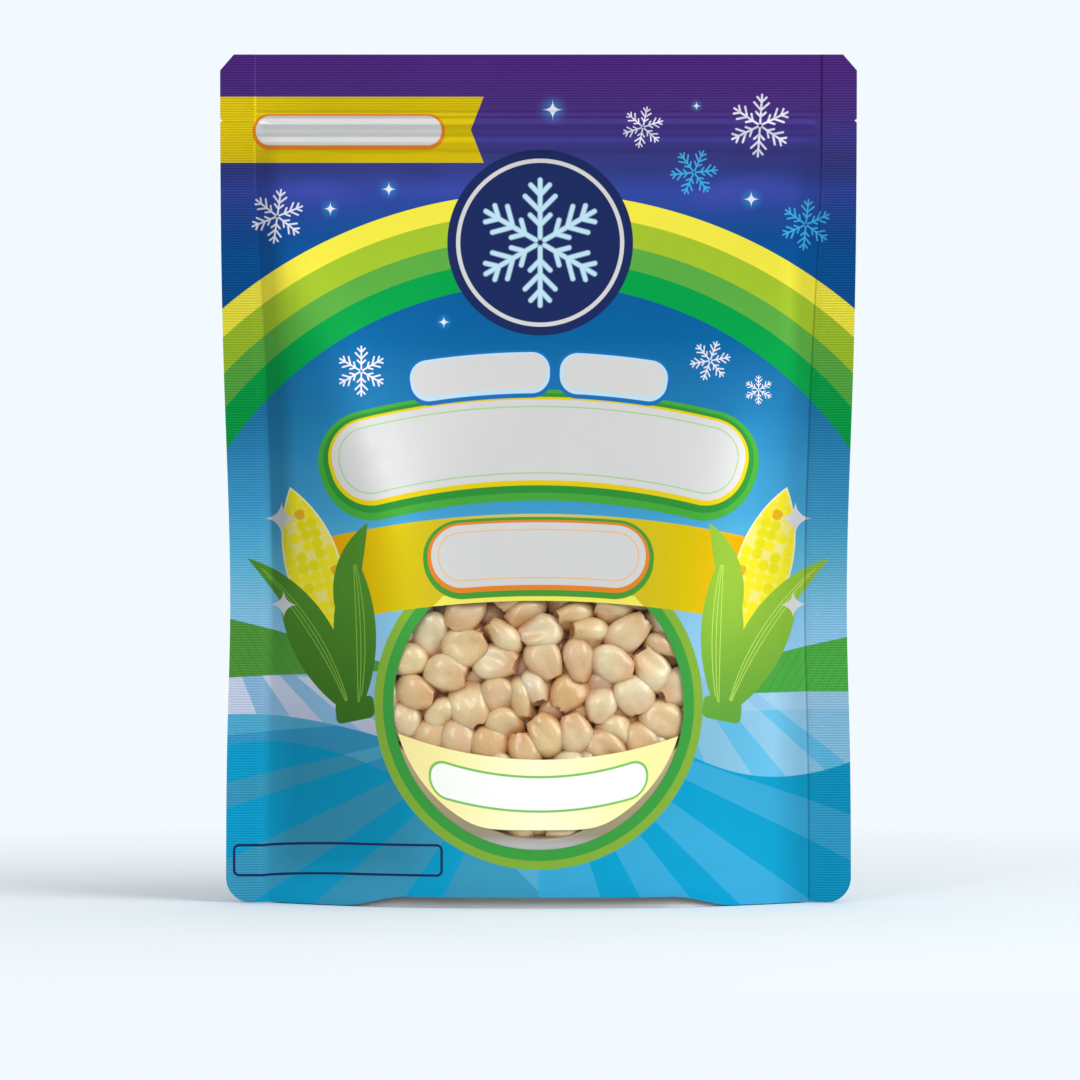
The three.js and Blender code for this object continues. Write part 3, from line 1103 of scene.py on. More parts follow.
class Paper:
    """The print of one film: x and z are millimetres on it, and each colour goes over the last."""

    def __init__(self, tree):
        self.tree = tree
        place = add_node(tree, "ShaderNodeTexCoord").outputs["Object"]
        scaled = add_node(tree, "ShaderNodeVectorMath", {"operation": "SCALE"})
        feed(tree, scaled.inputs[0], place)
        scaled.inputs["Scale"].default_value = 1 / MM
        split = add_node(tree, "ShaderNodeSeparateXYZ", Vector=scaled.outputs[0])
        self.place = place
        self.x = Field(tree, split.outputs["X"])
        self.y = Field(tree, split.outputs["Y"])
        self.z = Field(tree, split.outputs["Z"])
        self.colour = None

    def tint(self, share, colour):
        """Mixes a colour in by a share from 0 to 1."""
        self.colour = mixed(self.tree, share, self.colour, colour)

    def lay(self, distance, colour, edge=EDGE):
        """Lays a colour where the distance is below zero."""
        self.tint(distance.line(-1 / edge, 0.5, clamp=True), colour)

    def distance(self, x, z):
        """How far a place is from the origin of x and z."""
        both = add_node(self.tree, "ShaderNodeCombineXYZ", X=x, Y=z)
        length = add_node(self.tree, "ShaderNodeVectorMath", {"operation": "LENGTH"})
        feed(self.tree, length.inputs[0], both.outputs[0])
        return Field(self.tree, length.outputs["Value"])

    def disc(self, across, up, radius):
        """Distance to a disc."""
        return self.distance(self.x - across, self.z - up) - radius

    def plate(self, x, z, half_width, half_height, corner):
        """Distance to a plate with round corners round the origin of x and z."""
        over_x = (abs(x) - (half_width - corner)).most(0)
        over_z = (abs(z) - (half_height - corner)).most(0)
        return self.distance(over_x, over_z) - corner

    def bent(self, up, radius):
        """Places along and out from an arc round a centre on the middle line."""
        x, z = self.x, self.z - up
        return x.math("ARCTAN2", z) * radius, self.distance(x, z) - radius

    def beyond_body(self, form):
        """How far a place is beyond the body's edge, in a side seal: below zero on the body."""
        heights = np.linspace(0, HEIGHT, 25)
        shares = form.half_body(heights) / HALF_WIDTH
        stops = [(z, (share, share, share)) for z, share in zip(heights, shares)]
        return abs(self.x) - Field(self.tree, ramped(self.z, 0, HEIGHT, stops)) * HALF_WIDTH

    def noise(self, size, detail=2.0, stretch=(1, 1, 1)):
        """Soft noise from 0 to 1 with features of a size in millimetres."""
        vector = self.place
        if stretch != (1, 1, 1):
            scale = add_node(self.tree, "ShaderNodeVectorMath", {"operation": "MULTIPLY"})
            feed(self.tree, scale.inputs[0], self.place)
            scale.inputs[1].default_value = stretch
            vector = scale.outputs[0]
        noise = add_node(self.tree, "ShaderNodeTexNoise", Vector=vector, Detail=detail)
        noise.inputs["Scale"].default_value = 1 / (size * MM)
        return Field(self.tree, noise.outputs[0])

    def layer(self, name):
        """A value that the mesh holds at its points."""
        node = add_node(self.tree, "ShaderNodeAttribute", {"attribute_name": name})
        return Field(self.tree, node.outputs["Fac"])

    def blade(self, x, z, start, end, left, right):
        """Distance to a pointed leaf between two arcs, which bulge left and right of its chord."""
        (ax, az), (bx, bz) = start, end
        half = math.hypot(bx - ax, bz - az) / 2
        ux, uz = (bx - ax) / 2 / half, (bz - az) / 2 / half
        middle = ((ax + bx) / 2, (az + bz) / 2)
        along = x * ux + z * uz - (middle[0] * ux + middle[1] * uz)
        out = z * ux - x * uz - (middle[1] * ux - middle[0] * uz)
        first = self.arc_side(along, out, half, left)
        second = self.arc_side(along, -out, half, right)
        return first.most(second), (along, out, half)

    def arc_side(self, along, out, half, bulge):
        """Distance beyond an arc over a chord: positive on the side that it bulges to."""
        radius = (half**2 + bulge**2) / (2 * abs(bulge))
        centre = abs(bulge) - radius
        if bulge > 0:
            return self.distance(along, out - centre) - radius
        return -(self.distance(along, out + centre) - radius)


# ---------------------------------------------------------------------------------------------
# The print
# ---------------------------------------------------------------------------------------------

# Up the sky outside the arch and under it: height and colour
SKY = (
    (155, "03559a"),
    (159.5, "0e4d96"),
    (162.5, "1b4d97"),
    (166, "27499a"),
    (170.5, "3347a0"),
    (175, "343e86"),
    (180, "3b397f"),
    (183, "40398a"),
    (190, "4b307d"),
    (203, "50267c"),
)
INNER_SKY = (
    (60, "93c3e4"),
    (70, "85c0df"),
    (75, "74bbd7"),
    (85, "57afd1"),
    (94, "429bca"),
    (99, "3c96c3"),
    (104, "3791c0"),
    (109, "2d87b9"),
    (113, "2882b3"),
    (118, "2079ad"),
    (126, "1a71a9"),
    (135, "04659f"),
    (144, "065d9c"),
)
# The bands of the arch, each a disc over the last: height of its centre, radius and ink
ARCH = (
    (53.3, 116.9, "yellow"),
    (54.6, 110.7, "lime"),
    (55.9, 103.5, "green"),
    (57.2, 97.0, "deep_green"),
)
INNER_ARCH = (58.1, 90.2)
FIELD_TOP = 54.5
# The tops of the far and near fields on each side: level, where it lies across, and curve
LEFT_CREST = (45.3, -70, 0.0045)
LEFT_SWELL = (38.8, -64, 0.0085)
RIGHT_CREST = (46.5, 60, 0.0)
RIGHT_SWELL = (30.5, 58, -0.012)
LEFT_RAYS = (6, 14.5, 18.7, 27, 35, 41.5, 55, 63.5)  # where light and dark change, in degrees
RIGHT_RAYS = (38, 42.5, 50, 57, 68, 79)
FOOT_RAYS = (9, 20, 27, 36, 45, 52, 62, 72)
RIGHT_SUN = (24.3, 72.6)  # where the right field's rays come from
STRIPE_SUN = (-77.5, 70.5)  # and the stripes under the left hill
BADGE = {"across": 0.4, "up": 158.2, "radius": 22.2, "ring": 19.6, "flake": 15.0}
BANNER = {"top": 93.6, "radius": 223.0, "half": 50.0, "label_up": 84.0, "label_radius": 226.0}
TITLE = {"up": 111.2, "radius": 167.0, "small_up": 127.4, "small_radius": 180.0}
FLAG = {"up": 185.2, "half_height": 7.9, "point": 16.2, "notch": 0.39}
WEIGHT_BOX = {"across": -48.0, "up": 10.2, "half_width": 25.0, "half_height": 3.6, "corner": 1.2}
HUSK_FOOT = (44.5, 45.5)
# Snowflakes: across, up, radius and turn in degrees. Sparkles: across, up and radius
WHITE_FLAKES = (
    (-62.5, 164.5, 6.4, 8),
    (-42.3, 127.5, 5.9, 0),
    (25.0, 185.8, 4.9, 12),
    (53.0, 186.2, 7.4, 4),
    (41.0, 130.0, 4.8, 20),
    (52.6, 123.0, 3.4, 0),
)
BLUE_FLAKES = ((37.2, 175.0, 5.6, 24), (64.0, 162.5, 6.0, 6))
SPARKLES = (
    (3.4, 190.0, 2.9),
    (37.8, 190.9, 1.3),
    (-35.8, 171.0, 2.1),
    (-49.8, 166.3, 2.0),
    (50.9, 168.6, 2.3),
    (-22.6, 139.2, 1.7),
)
EAR_SPARKLES = ((61.5, 92.2, 4.2), (61.0, 71.6, 3.4))


def paint_sky(paper, inks):
    """The night sky, lighter patches in it, the arch, and the day sky under it."""
    stops = [(value, ink(code)) for value, code in SKY]
    paper.colour = ramped(paper.z, 150, HEIGHT, stops)
    patch = paper.noise(26, 1.0, (1, 1, 2.2)).line(5, -2.6, clamp=True)
    patch = patch * (abs(paper.z - 171) / -9 + 1).math("MAXIMUM", 0)
    paper.tint(patch * 0.5, ink("4a52b8"))
    for up, radius, name in ARCH:
        paper.lay(paper.disc(0, up, radius), getattr(inks, name))
    stops = [(value, ink(code)) for value, code in INNER_SKY]
    day = ramped(paper.z, 55, 150, stops)
    paper.lay(paper.disc(0, *INNER_ARCH), day)


def rays(paper, centre, hand, stops, light, dark):
    """Rays from a centre as bands of light and dark by their angle below the horizontal."""
    x = (paper.x - centre[0]) * hand
    angle = (-(paper.z - centre[1])).math("ARCTAN2", x) * math.degrees(1)
    bands = [(0, light)]
    for number, stop in enumerate(stops):
        bands.append((stop, dark if number % 2 == 0 else light))
    return ramped(angle, 0, 90, bands, steps=True)


def paint_fields(paper, inks):
    """The blue fields with their rays, in three tiers on each side."""
    tree = paper.tree
    x, z = paper.x, paper.z
    centre = (0, OPENING_HEIGHT)
    left_fan = (centre, -1, LEFT_RAYS)
    right_fan = (RIGHT_SUN, 1, RIGHT_RAYS)
    foot_fan = (centre, 1, FOOT_RAYS)
    deep = rays(paper, *left_fan, ink("3d9cbd"), inks.water)
    middle = rays(paper, *left_fan, ink("55adcf"), ink("3b9cc6"))
    pale = ink("c9d0e4")
    left = mixed(tree, line_below(paper, *LEFT_CREST), pale, middle)
    left = mixed(tree, line_below(paper, *LEFT_SWELL), left, deep)
    # Painted shade: low on the left, and a little beside the ring and the seal on the right
    deepest = x.line(1 / 8, 66 / 8, clamp=True) * x.line(-1 / 16, -18 / 16, clamp=True)
    deepest = deepest * z.line(-1 / 12, 52 / 12, clamp=True) * z.line(1 / 9, -3 / 9, clamp=True)
    left = mixed(tree, deepest * 0.25, left, ink("06344a"))
    pale = rays(paper, *right_fan, ink("a9d5f0"), ink("9accec"))
    middle = rays(paper, *right_fan, ink("98cfec"), ink("6cc6ec"))
    deep = rays(paper, *foot_fan, ink("3aa9d4"), inks.water)
    right = mixed(tree, line_below(paper, *RIGHT_CREST), pale, middle)
    # Painted shade beside the ring on the right
    ring_shade = x.line(-1 / 14, 56 / 14, clamp=True) * 0.24
    right = mixed(tree, ring_shade, right, ink("106c7c"))
    right = mixed(tree, line_below(paper, *RIGHT_SWELL), right, deep)
    # Painted shade beside the right seal
    seal_shade = x.line(1 / 7, -56 / 7, clamp=True) * 0.27
    right = mixed(tree, seal_shade, right, ink("032c40"))
    both = mixed(tree, x.line(1 / EDGE, 0.5, clamp=True), left, right)
    paper.lay(z - FIELD_TOP, both)
    paint_pale_stripes(paper)
    paint_hill(paper, -1, (68.6, 0.235, 0.0008), (53.9, -0.06), ink("52963b"))
    paint_hill(paper, 1, (64.2, 0.218, 0.0), (50.7, 0.0), ink("4da845"))


def line_below(paper, level, across, curve, hand=-1):
    """1 below a line that curves away from its level on both sides of a place, or above for hand 1."""
    edge = (paper.x - across).math("POWER", 2) * curve + (paper.z - level)
    return edge.line(hand / EDGE, 0.5, clamp=True)


def paint_pale_stripes(paper):
    """Two slanted stripes in the pale field under the left hill."""
    across, up = STRIPE_SUN
    turn = (paper.z - up).math("ARCTAN2", paper.x - across) * -math.degrees(1)
    blue, bare = (1, 1, 1), (0, 0, 0)
    stops = [(0, blue), (34, bare), (39, blue), (45.5, bare), (54.5, blue), (68.5, bare)]
    stripes = Field(paper.tree, ramped(turn, 0, 90, stops, steps=True))
    left = paper.x.line(-1 / EDGE, 0.5 - 36 / EDGE, clamp=True)
    above = line_below(paper, *LEFT_CREST, hand=1)
    below = paper.z.line(-1 / EDGE, 0.5 + 56 / EDGE, clamp=True)
    paper.tint(stripes * left * above * below * 0.85, ink("7fb3d6"))


def paint_hill(paper, hand, top, foot, colour):
    """A striped green hill that slopes down from a side edge behind the ear.

    Its top and its foot are a level at that edge, a slope and maybe a curve.
    """
    side = paper.x * hand
    run = 76 - side
    crest = paper.z - (run.line(-top[1], top[0]) - run * run * top[2])
    under = run.line(-foot[1], foot[0]) - paper.z
    shape = crest.most(under).most(36 - side if hand < 0 else 48 - side)
    paper.lay(shape, colour)
    slant = (run + (paper.z - 50) * 0.6) / 2.3
    stripe = abs(slant.math("FRACT") - 0.5).line(-12, 1, clamp=True)
    inside = shape.line(-1 / EDGE, 0.5, clamp=True)
    paper.tint(stripe * inside * 0.3, ink("1f5a1c"))


def paint_opening_ring(paper):
    """Two rings round the window, under the banner."""
    ring = paper.disc(0, OPENING_HEIGHT, 0)
    paper.lay(ring - 39.1, ink("86b13c"))
    paper.lay(ring - 37.0, ink("3fa043"))


def paint_banner(paper, inks):
    """The arched ribbon over the window, paler towards its middle, with a painted highlight along its
    lower edge and a blank label on it.
    """
    top = paper.disc(0, BANNER["top"] - BANNER["radius"], BANNER["radius"])
    foot = -paper.disc(0, BANNER_FOOT - BANNER_RADIUS, BANNER_RADIUS)
    ribbon = top.most(foot).most(abs(paper.x) - BANNER["half"])
    # The ribbon pales towards its middle: partly a glow in its print, partly a painted sheen
    stops = [(0, ink("d2c87f")), (10, ink("d3c45a")), (22, ink("d3bd24")), (34, inks.banner)]
    stops += [(42, ink("dfb504")), (50, ink("e8a200"))]
    paper.lay(ribbon, ramped(abs(paper.x), 0, 55, stops))
    # A painted highlight along the ribbon's lower edge, where it passes over the ring
    strip = (-foot - 2.2).most(foot).most(abs(paper.x) + (-foot) - 25)
    paper.lay(strip, ink("f4ea62"))
    along, out = paper.bent(BANNER["label_up"] - BANNER["label_radius"], BANNER["label_radius"])
    outlines = ((0.9, ink("e8862b")), (2.0, ink("4a9a38")))
    label_stack(paper, along, out - 0.2, (25.5, 7.4, 7.2), outlines, inks, ink("ecc08c"))


def label_stack(paper, x, z, size, outlines, inks, rule=None):
    """A blank white label with outlines that drop below it, and maybe a thin rule inside."""
    half_width, half_height, corner = size
    for grow, colour in reversed(outlines):
        plate = paper.plate(x, z + grow * 0.35, half_width, half_height, corner)
        paper.lay(plate - grow, colour)
    label = paper.plate(x, z, half_width, half_height, corner)
    paper.lay(label, inks.white)
    if rule:
        paper.lay(abs(label + 1.7) - 0.16, rule)


def paint_title(paper, inks):
    """The large arched label and the two small ones over it, all blank."""
    along, out = paper.bent(TITLE["up"] - TITLE["radius"], TITLE["radius"])
    outlines = ((0.9, ink("e3cb12")), (2.2, ink("2f8f37")), (3.6, ink("46a53c")))
    label_stack(paper, along, out, (49.5, 9.6, 8.8), outlines, inks, ink("a9cf8f"))
    along, out = paper.bent(TITLE["small_up"] - TITLE["small_radius"], TITLE["small_radius"])
    for middle, half in ((-14, 16.0), (18, 12.2)):
        outlines = ((0.7, ink("bfe0f2")), (1.5, ink("1c6fb4")))
        label_stack(paper, along - middle, out, (half, 4.2, 3.6), outlines, inks)


def paint_badge(paper, inks):
    """A round navy badge with a pale ring, its middle left to a plain snowflake."""
    badge = paper.disc(BADGE["across"], BADGE["up"], 0)
    paper.lay(badge - BADGE["radius"], inks.navy)
    paper.lay(abs(badge - BADGE["ring"]) - 0.5, inks.white)
    x = (paper.x - BADGE["across"]) / BADGE["flake"]
    z = (paper.z - BADGE["up"]) / BADGE["flake"]
    flake_shape(paper, x, z, ink("bfe3f4"), 0.038)


def stroke(paper, x, z, start, end):
    """Distance to a straight stroke between two points."""
    dx, dz = end[0] - start[0], end[1] - start[1]
    square = dx * dx + dz * dz
    shift = -(start[0] * dx + start[1] * dz) / square
    share = (x * (dx / square)).math("ADD", z.line(dz / square, shift), clamp=True)
    return paper.distance(x - share.line(dx, start[0]), z - share.line(dz, start[1]))


def flake_shape(paper, x, z, colour, width=0.032):
    """A six-armed snowflake of radius 1 round the origin of x and z."""
    half = math.pi / 6
    turn = abs(x.math("ARCTAN2", z).math("WRAP", half, -half))
    reach = paper.distance(x, z)
    along = reach * turn.math("COSINE")
    out = reach * turn.math("SINE")
    arm = stroke(paper, along, out, (0.08, 0), (1, 0))
    for foot, tip in (((0.28, 0), (0.44, 0.16)), ((0.5, 0), (0.74, 0.24)), ((0.76, 0), (0.92, 0.15))):
        arm = arm.least(stroke(paper, along, out, foot, tip))
    paper.lay(arm - width, colour, 0.025)


def nearest_spot(paper, spots, reach):
    """Local places for a shape that repeats: near each spot, distances from it in its own size."""
    tree = paper.tree
    flat = add_node(tree, "ShaderNodeCombineXYZ", X=paper.x, Y=paper.z).outputs[0]
    local = None
    for spot in spots:
        across, up, size = spot[:3]
        shift = add_node(tree, "ShaderNodeVectorMath", {"operation": "MULTIPLY_ADD"})
        feed(tree, shift.inputs[0], flat)
        shift.inputs[1].default_value = (1 / size, 1 / size, 0)
        shift.inputs[2].default_value = (-across / size, -up / size, 0)
        placed = shift.outputs[0]
        if len(spot) > 3:
            turn = add_node(tree, "ShaderNodeVectorRotate", {"rotation_type": "Z_AXIS"})
            feed(tree, turn.inputs["Vector"], placed)
            turn.inputs["Angle"].default_value = math.radians(spot[3])
            placed = turn.outputs[0]
        if local is None:
            local = placed
            continue
        length = add_node(tree, "ShaderNodeVectorMath", {"operation": "LENGTH"})
        feed(tree, length.inputs[0], placed)
        near = Field(tree, length.outputs["Value"]).math("LESS_THAN", reach)
        choice = add_node(tree, "ShaderNodeMix", {"data_type": "VECTOR"})
        feed(tree, choice.inputs[0], near)
        feed(tree, choice.inputs[4], local)
        feed(tree, choice.inputs[5], placed)
        local = choice.outputs[1]
    split = add_node(tree, "ShaderNodeSeparateXYZ", Vector=local)
    return Field(tree, split.outputs["X"]), Field(tree, split.outputs["Y"])


def paint_flakes(paper, inks):
    """Snowflakes in the sky, white and light blue."""
    flake_shape(paper, *nearest_spot(paper, WHITE_FLAKES, 1.1), inks.frost)
    flake_shape(paper, *nearest_spot(paper, BLUE_FLAKES, 1.1), ink("3fb2e6"))


def star_shape(x, z, power=0.44):
    """Distance to a four-pointed star of radius 1, whose sides curve in more with a lower power."""
    sides = abs(x).math("POWER", power) + abs(z).math("POWER", power)
    return sides.math("POWER", 1 / power) - 1


def paint_sparkles(paper, inks):
    """Small stars with a soft blue glow."""
    x, z = nearest_spot(paper, SPARKLES, 2.4)
    glow = (paper.distance(x, z) / -1.5).math("ADD", 1, clamp=True).math("POWER", 2)
    paper.tint(glow * 0.75, ink("2aa2e2"))
    paper.lay(star_shape(x, z), inks.frost, 0.12)


def paint_ears(paper, inks):
    """An ear of corn on each side, mirrored: a cob between two husk leaves on a stalk."""
    tree = paper.tree
    side = abs(paper.x)
    z = paper.z
    # The leaves are darker on the left than on the right: partly their own colour, partly painted shade
    lit = paper.x.line(1 / 60, 0.5, clamp=True)
    leaf = mixed(tree, lit, ink("4f8a2c"), ink("93be3a"))
    leaf_dark = mixed(tree, lit, ink("3c7022"), ink("66a63c"))
    leaf = mixed(tree, z.line(-1 / 30, 76 / 30, clamp=True), leaf, leaf_dark)
    vein = mixed(tree, lit, ink("8bb84a"), ink("c4e26a"))

    cob, (along, out, _) = paper.blade(side, z, (48.5, 62.0), (59.3, 99.2), 6.6, 6.2)
    paper.lay(cob - 0.35, ink("f1ebb4"))
    paint_cob(paper, cob, along, out, inks)
    # The outer leaf is two blades, a broad one and one that runs out to the tip, as is the inner one
    outer, _ = paper.blade(side, z, HUSK_FOOT, (61.8, 71.5), 6.0, 3.7)
    tip, frame_tip = paper.blade(side, z, HUSK_FOOT, (69.8, 82.7), 8.0, -1.0)
    inner, frame_inner = paper.blade(side, z, (42.9, 45.6), (44.2, 84.5), 4.9, 5.3)
    curl, _ = paper.blade(side, z, (45.3, 64.0), (40.7, 91.4), 0.5, 5.8)
    inner = inner.least(curl)
    along_stalk = side - 43.6 - (z - 46) * 0.1
    up_stalk = side.line(0.22, -43.5 * 0.22) + (z - 47)
    stalk = paper.plate(along_stalk, up_stalk, 4.7, 2.7, 1.4)
    husk = outer.least(tip).least(stalk)
    paper.lay(husk, leaf)
    paint_veins(paper, frame_tip, husk, (2.4, 3.3, 4.2), vein)
    paper.lay(inner, leaf)
    paint_veins(paper, frame_inner, inner, (2.2, 1.2, 0.2), vein)
    star = None
    for across, up, size in EAR_SPARKLES:
        shape = star_shape((side - across) / size, (z - up) / size, 0.56) * size
        star = shape if star is None else star.least(shape)
    paper.lay(star, inks.white, 0.3)


def paint_cob(paper, cob, along, out, inks):
    """Rows of kernels on a cob, each its own yellow, with paler gaps."""
    tree = paper.tree
    place = add_node(tree, "ShaderNodeCombineXYZ", X=along / 2.5, Y=out / 2.5)
    cells = add_node(tree, "ShaderNodeTexVoronoi", {"voronoi_dimensions": "2D"})
    feed(tree, cells.inputs["Vector"], place.outputs[0])
    cells.inputs["Scale"].default_value = 1
    cells.inputs["Randomness"].default_value = 0.22
    split = add_node(tree, "ShaderNodeSeparateColor", Color=cells.outputs["Color"])
    tone = Field(tree, split.outputs[0])
    shades = [(0, inks.cob), (0.55, ink("e3d91a")), (0.87, ink("e2ad1c")), (0.92, ink("ece17a"))]
    grains = ramped(tone, 0, 1, shades, steps=True)
    gap = Field(tree, cells.outputs["Distance"]).line(7, -3.3, clamp=True)
    paper.lay(cob, mixed(tree, gap, grains, ink("ebe36c")))


def paint_veins(paper, blade_frame, blade, bulges, colour):
    """Thin veins along a leaf, each an arc between its two points."""
    along, out, half = blade_frame
    inset = blade + 1.1
    for bulge in bulges:
        vein = abs(paper.arc_side(along, out, half, bulge)) - 0.09
        paper.lay(vein.most(inset).most(abs(along) - half * 0.84), colour)


def paint_flag(paper, inks):
    """A yellow flag from the left edge, with a notch and a blank label."""
    x, z = paper.x, paper.z
    notch = x - (abs(z - FLAG["up"]) * FLAG["notch"]).line(1, -FLAG["point"])
    flag = (abs(z - FLAG["up"]) - FLAG["half_height"]).most(notch)
    stops = [(-76, ink("e2c70f")), (-50, ink("d3bb08")), (-12, ink("d8bd0a"))]
    paper.lay(flag, ramped(x, -76, 76, stops))
    outlines = ((0.8, ink("dd7f1f")),)
    label_stack(paper, x + 45.4, z - 185, (22.2, 3.5, 3.3), outlines, inks)


def paint_weight_box(paper, inks):
    """A thin navy box, left blank."""
    bulge = paper.x.line(1 / 22, 66 / 22, clamp=True)
    bulge = bulge * (bulge * -1 + 2) * 1.2
    x = paper.x - WEIGHT_BOX["across"]
    z = paper.z - WEIGHT_BOX["up"] - bulge
    size = (WEIGHT_BOX["half_width"], WEIGHT_BOX["half_height"], WEIGHT_BOX["corner"])
    box = paper.plate(x, z, *size)
    paper.lay(abs(box) - 0.3, inks.navy)


def paint_crease_shade(paper, form):
    """Painted shade on and beside the side seals: over the upper seals, reaching further down on the
    right; a soft band on the body beside each seal, stronger on the left; and a thin dark line along each
    seal's edge, stronger on the right and at the top.
    """
    painted_shade = ink("0a0e12")
    right = paper.x.line(1 / 120, 0.5, clamp=True)
    beyond = paper.beyond_body(form)
    low = paper.z.line(-1 / 10, 18.6, clamp=True)
    upper = (paper.z + right * 34).line(1 / 26, -92 / 26, clamp=True)
    # Painted shade over the upper seals, reaching further down on the right
    paper.tint(beyond.line(2.5, 0.4, clamp=True) * upper * low * 0.17, painted_shade)
    # A soft painted shade on the body beside each seal, stronger on the left
    fold = beyond.line(1 / 3.5, 6.5 / 3.5, clamp=True) * beyond.line(-1.2, 0.7, clamp=True)
    fold = fold * low * paper.z.line(1 / 30, -60 / 30, clamp=True)
    paper.tint(fold * right.line(-0.2, 0.34), painted_shade)
    # A thin painted dark line along each seal's edge, stronger on the right and at the top
    edge = abs(beyond).line(-1 / 0.3, 1.1, clamp=True) * low.line(-0.35, 0.7)
    paper.tint(edge * right.line(0.9, 0.06), painted_shade)


def paint_front(paper, inks):
    """The front, each part of the print over the last."""
    paint_sky(paper, inks)
    paint_fields(paper, inks)
    paint_flakes(paper, inks)
    paint_sparkles(paper, inks)
    paint_badge(paper, inks)
    paint_title(paper, inks)
    paint_opening_ring(paper)
    paint_banner(paper, inks)
    paint_ears(paper, inks)
    paint_flag(paper, inks)
    paint_weight_box(paper, inks)


def paint_back(paper, inks):
    """The back: the same sky, arch and fields, with a large blank panel."""
    paint_sky(paper, inks)
    paint_fields(paper, inks)
    panel = paper.plate(paper.x, paper.z - 81, 52, 60, 5)
    paper.lay(panel - 1.1, ink("3fa043"))
    paper.lay(panel, ink("eef4f6"))
    for row in range(4):
        rule = paper.plate(paper.x, paper.z - 122 + row * 24, 44, 0.25, 0.2)
        paper.lay(rule, ink("9fc3d8"))


def paint_gusset(paper, inks):
    """The gusset is left unprinted, a plain silver white."""
    paper.colour = ramped(paper.z, 0, 28, [(0, inks.white), (26, ink("cfd2d6"))])


# ---------------------------------------------------------------------------------------------
# Materials
# ---------------------------------------------------------------------------------------------


def new_material(name):
    """An empty node material and its tree."""
    material = bpy.data.materials.new(name)
    material.use_nodes = True
    material.node_tree.nodes.clear()
    return material, material.node_tree


def film_finish(paper, roughness=0.34, metal=0.36):
    """Satin laminate over foil: fine grain and faint orange peel under a soft tinted sheen."""
    tree = paper.tree
    grain = paper.noise(0.35, 2.0)
    peel = paper.noise(2.4, 1.0)
    height = grain * 0.25 + peel
    bump = add_node(tree, "ShaderNodeBump", Height=height)
    bump.inputs["Strength"].default_value = 0.1
    bump.inputs["Distance"].default_value = 0.06 * MM
    shader = add_node(tree, "ShaderNodeBsdfPrincipled", Base_Color=paper.colour)
    feed(tree, shader.inputs["Roughness"], peel.line(0.1, roughness - 0.05))
    feed(tree, shader.inputs["Normal"], bump.outputs[0])
    shader.inputs["Specular IOR Level"].default_value = 0.08
    shader.inputs["Metallic"].default_value = metal
    return shader.outputs[0]


def printed_film(name, paint, inks, form):
    """The material of a printed film."""
    material, tree = new_material(name)
    paper = Paper(tree)
    paint(paper, inks)
    paint_crease_shade(paper, form)
    output = add_node(tree, "ShaderNodeOutputMaterial")
    feed(tree, output.inputs["Surface"], film_finish(paper))
    return material


BAND = {
    "top_centre": 134.9,
    "top_radius": 99.5,
    "centre": 51.0,
    "radius": 34.7,
    "foot": 18.7,
    "corner": 3.0,
    "label_up": 27.4,
    "label_radius": 78.0,
}


def window_film_material(inks):
    """Clear film with an opaque cream band printed across its lower part."""
    material, tree = new_material("clear_window_film")
    paper = Paper(tree)
    side = abs(paper.x)
    stops = [(0, ink("fefbd2")), (14, ink("fdf7bb")), (24, inks.cream), (36, ink("fdeba0"))]
    paper.colour = ramped(side, 0, 40, stops)
    _, out = paper.bent(BAND["label_up"] + BAND["label_radius"], BAND["label_radius"])
    label = paper.plate(paper.x, -out + 0.2, 25.5, 3.8, 3.6)
    paper.lay(label - 0.55, ink("7fc35f"))
    paper.lay(label, ink("fdfdf6"))
    band = -(paper.disc(0.8, BAND["top_centre"], BAND["top_radius"]))
    band = band.most(paper.disc(0, BAND["centre"], BAND["radius"]))
    band = band.math("SMOOTH_MAX", -(paper.z - BAND["foot"]), BAND["corner"])
    printed = film_finish(paper, metal=0.08)
    clear = add_node(tree, "ShaderNodeBsdfTransparent")
    gloss = add_node(tree, "ShaderNodeBsdfGlossy")
    gloss.inputs["Roughness"].default_value = 0.16
    fresnel = add_node(tree, "ShaderNodeFresnel")
    fresnel.inputs["IOR"].default_value = 1.4
    film = add_node(tree, "ShaderNodeMixShader")
    feed(tree, film.inputs[0], Field(tree, fresnel.outputs[0]) * 0.4)
    feed(tree, film.inputs[1], clear.outputs[0])
    feed(tree, film.inputs[2], gloss.outputs[0])
    both = add_node(tree, "ShaderNodeMixShader")
    feed(tree, both.inputs[0], band.line(-1 / EDGE, 0.5, clamp=True))
    feed(tree, both.inputs[1], film.outputs[0])
    feed(tree, both.inputs[2], printed)
    output = add_node(tree, "ShaderNodeOutputMaterial")
    feed(tree, output.inputs["Surface"], both.outputs[0])
    return material


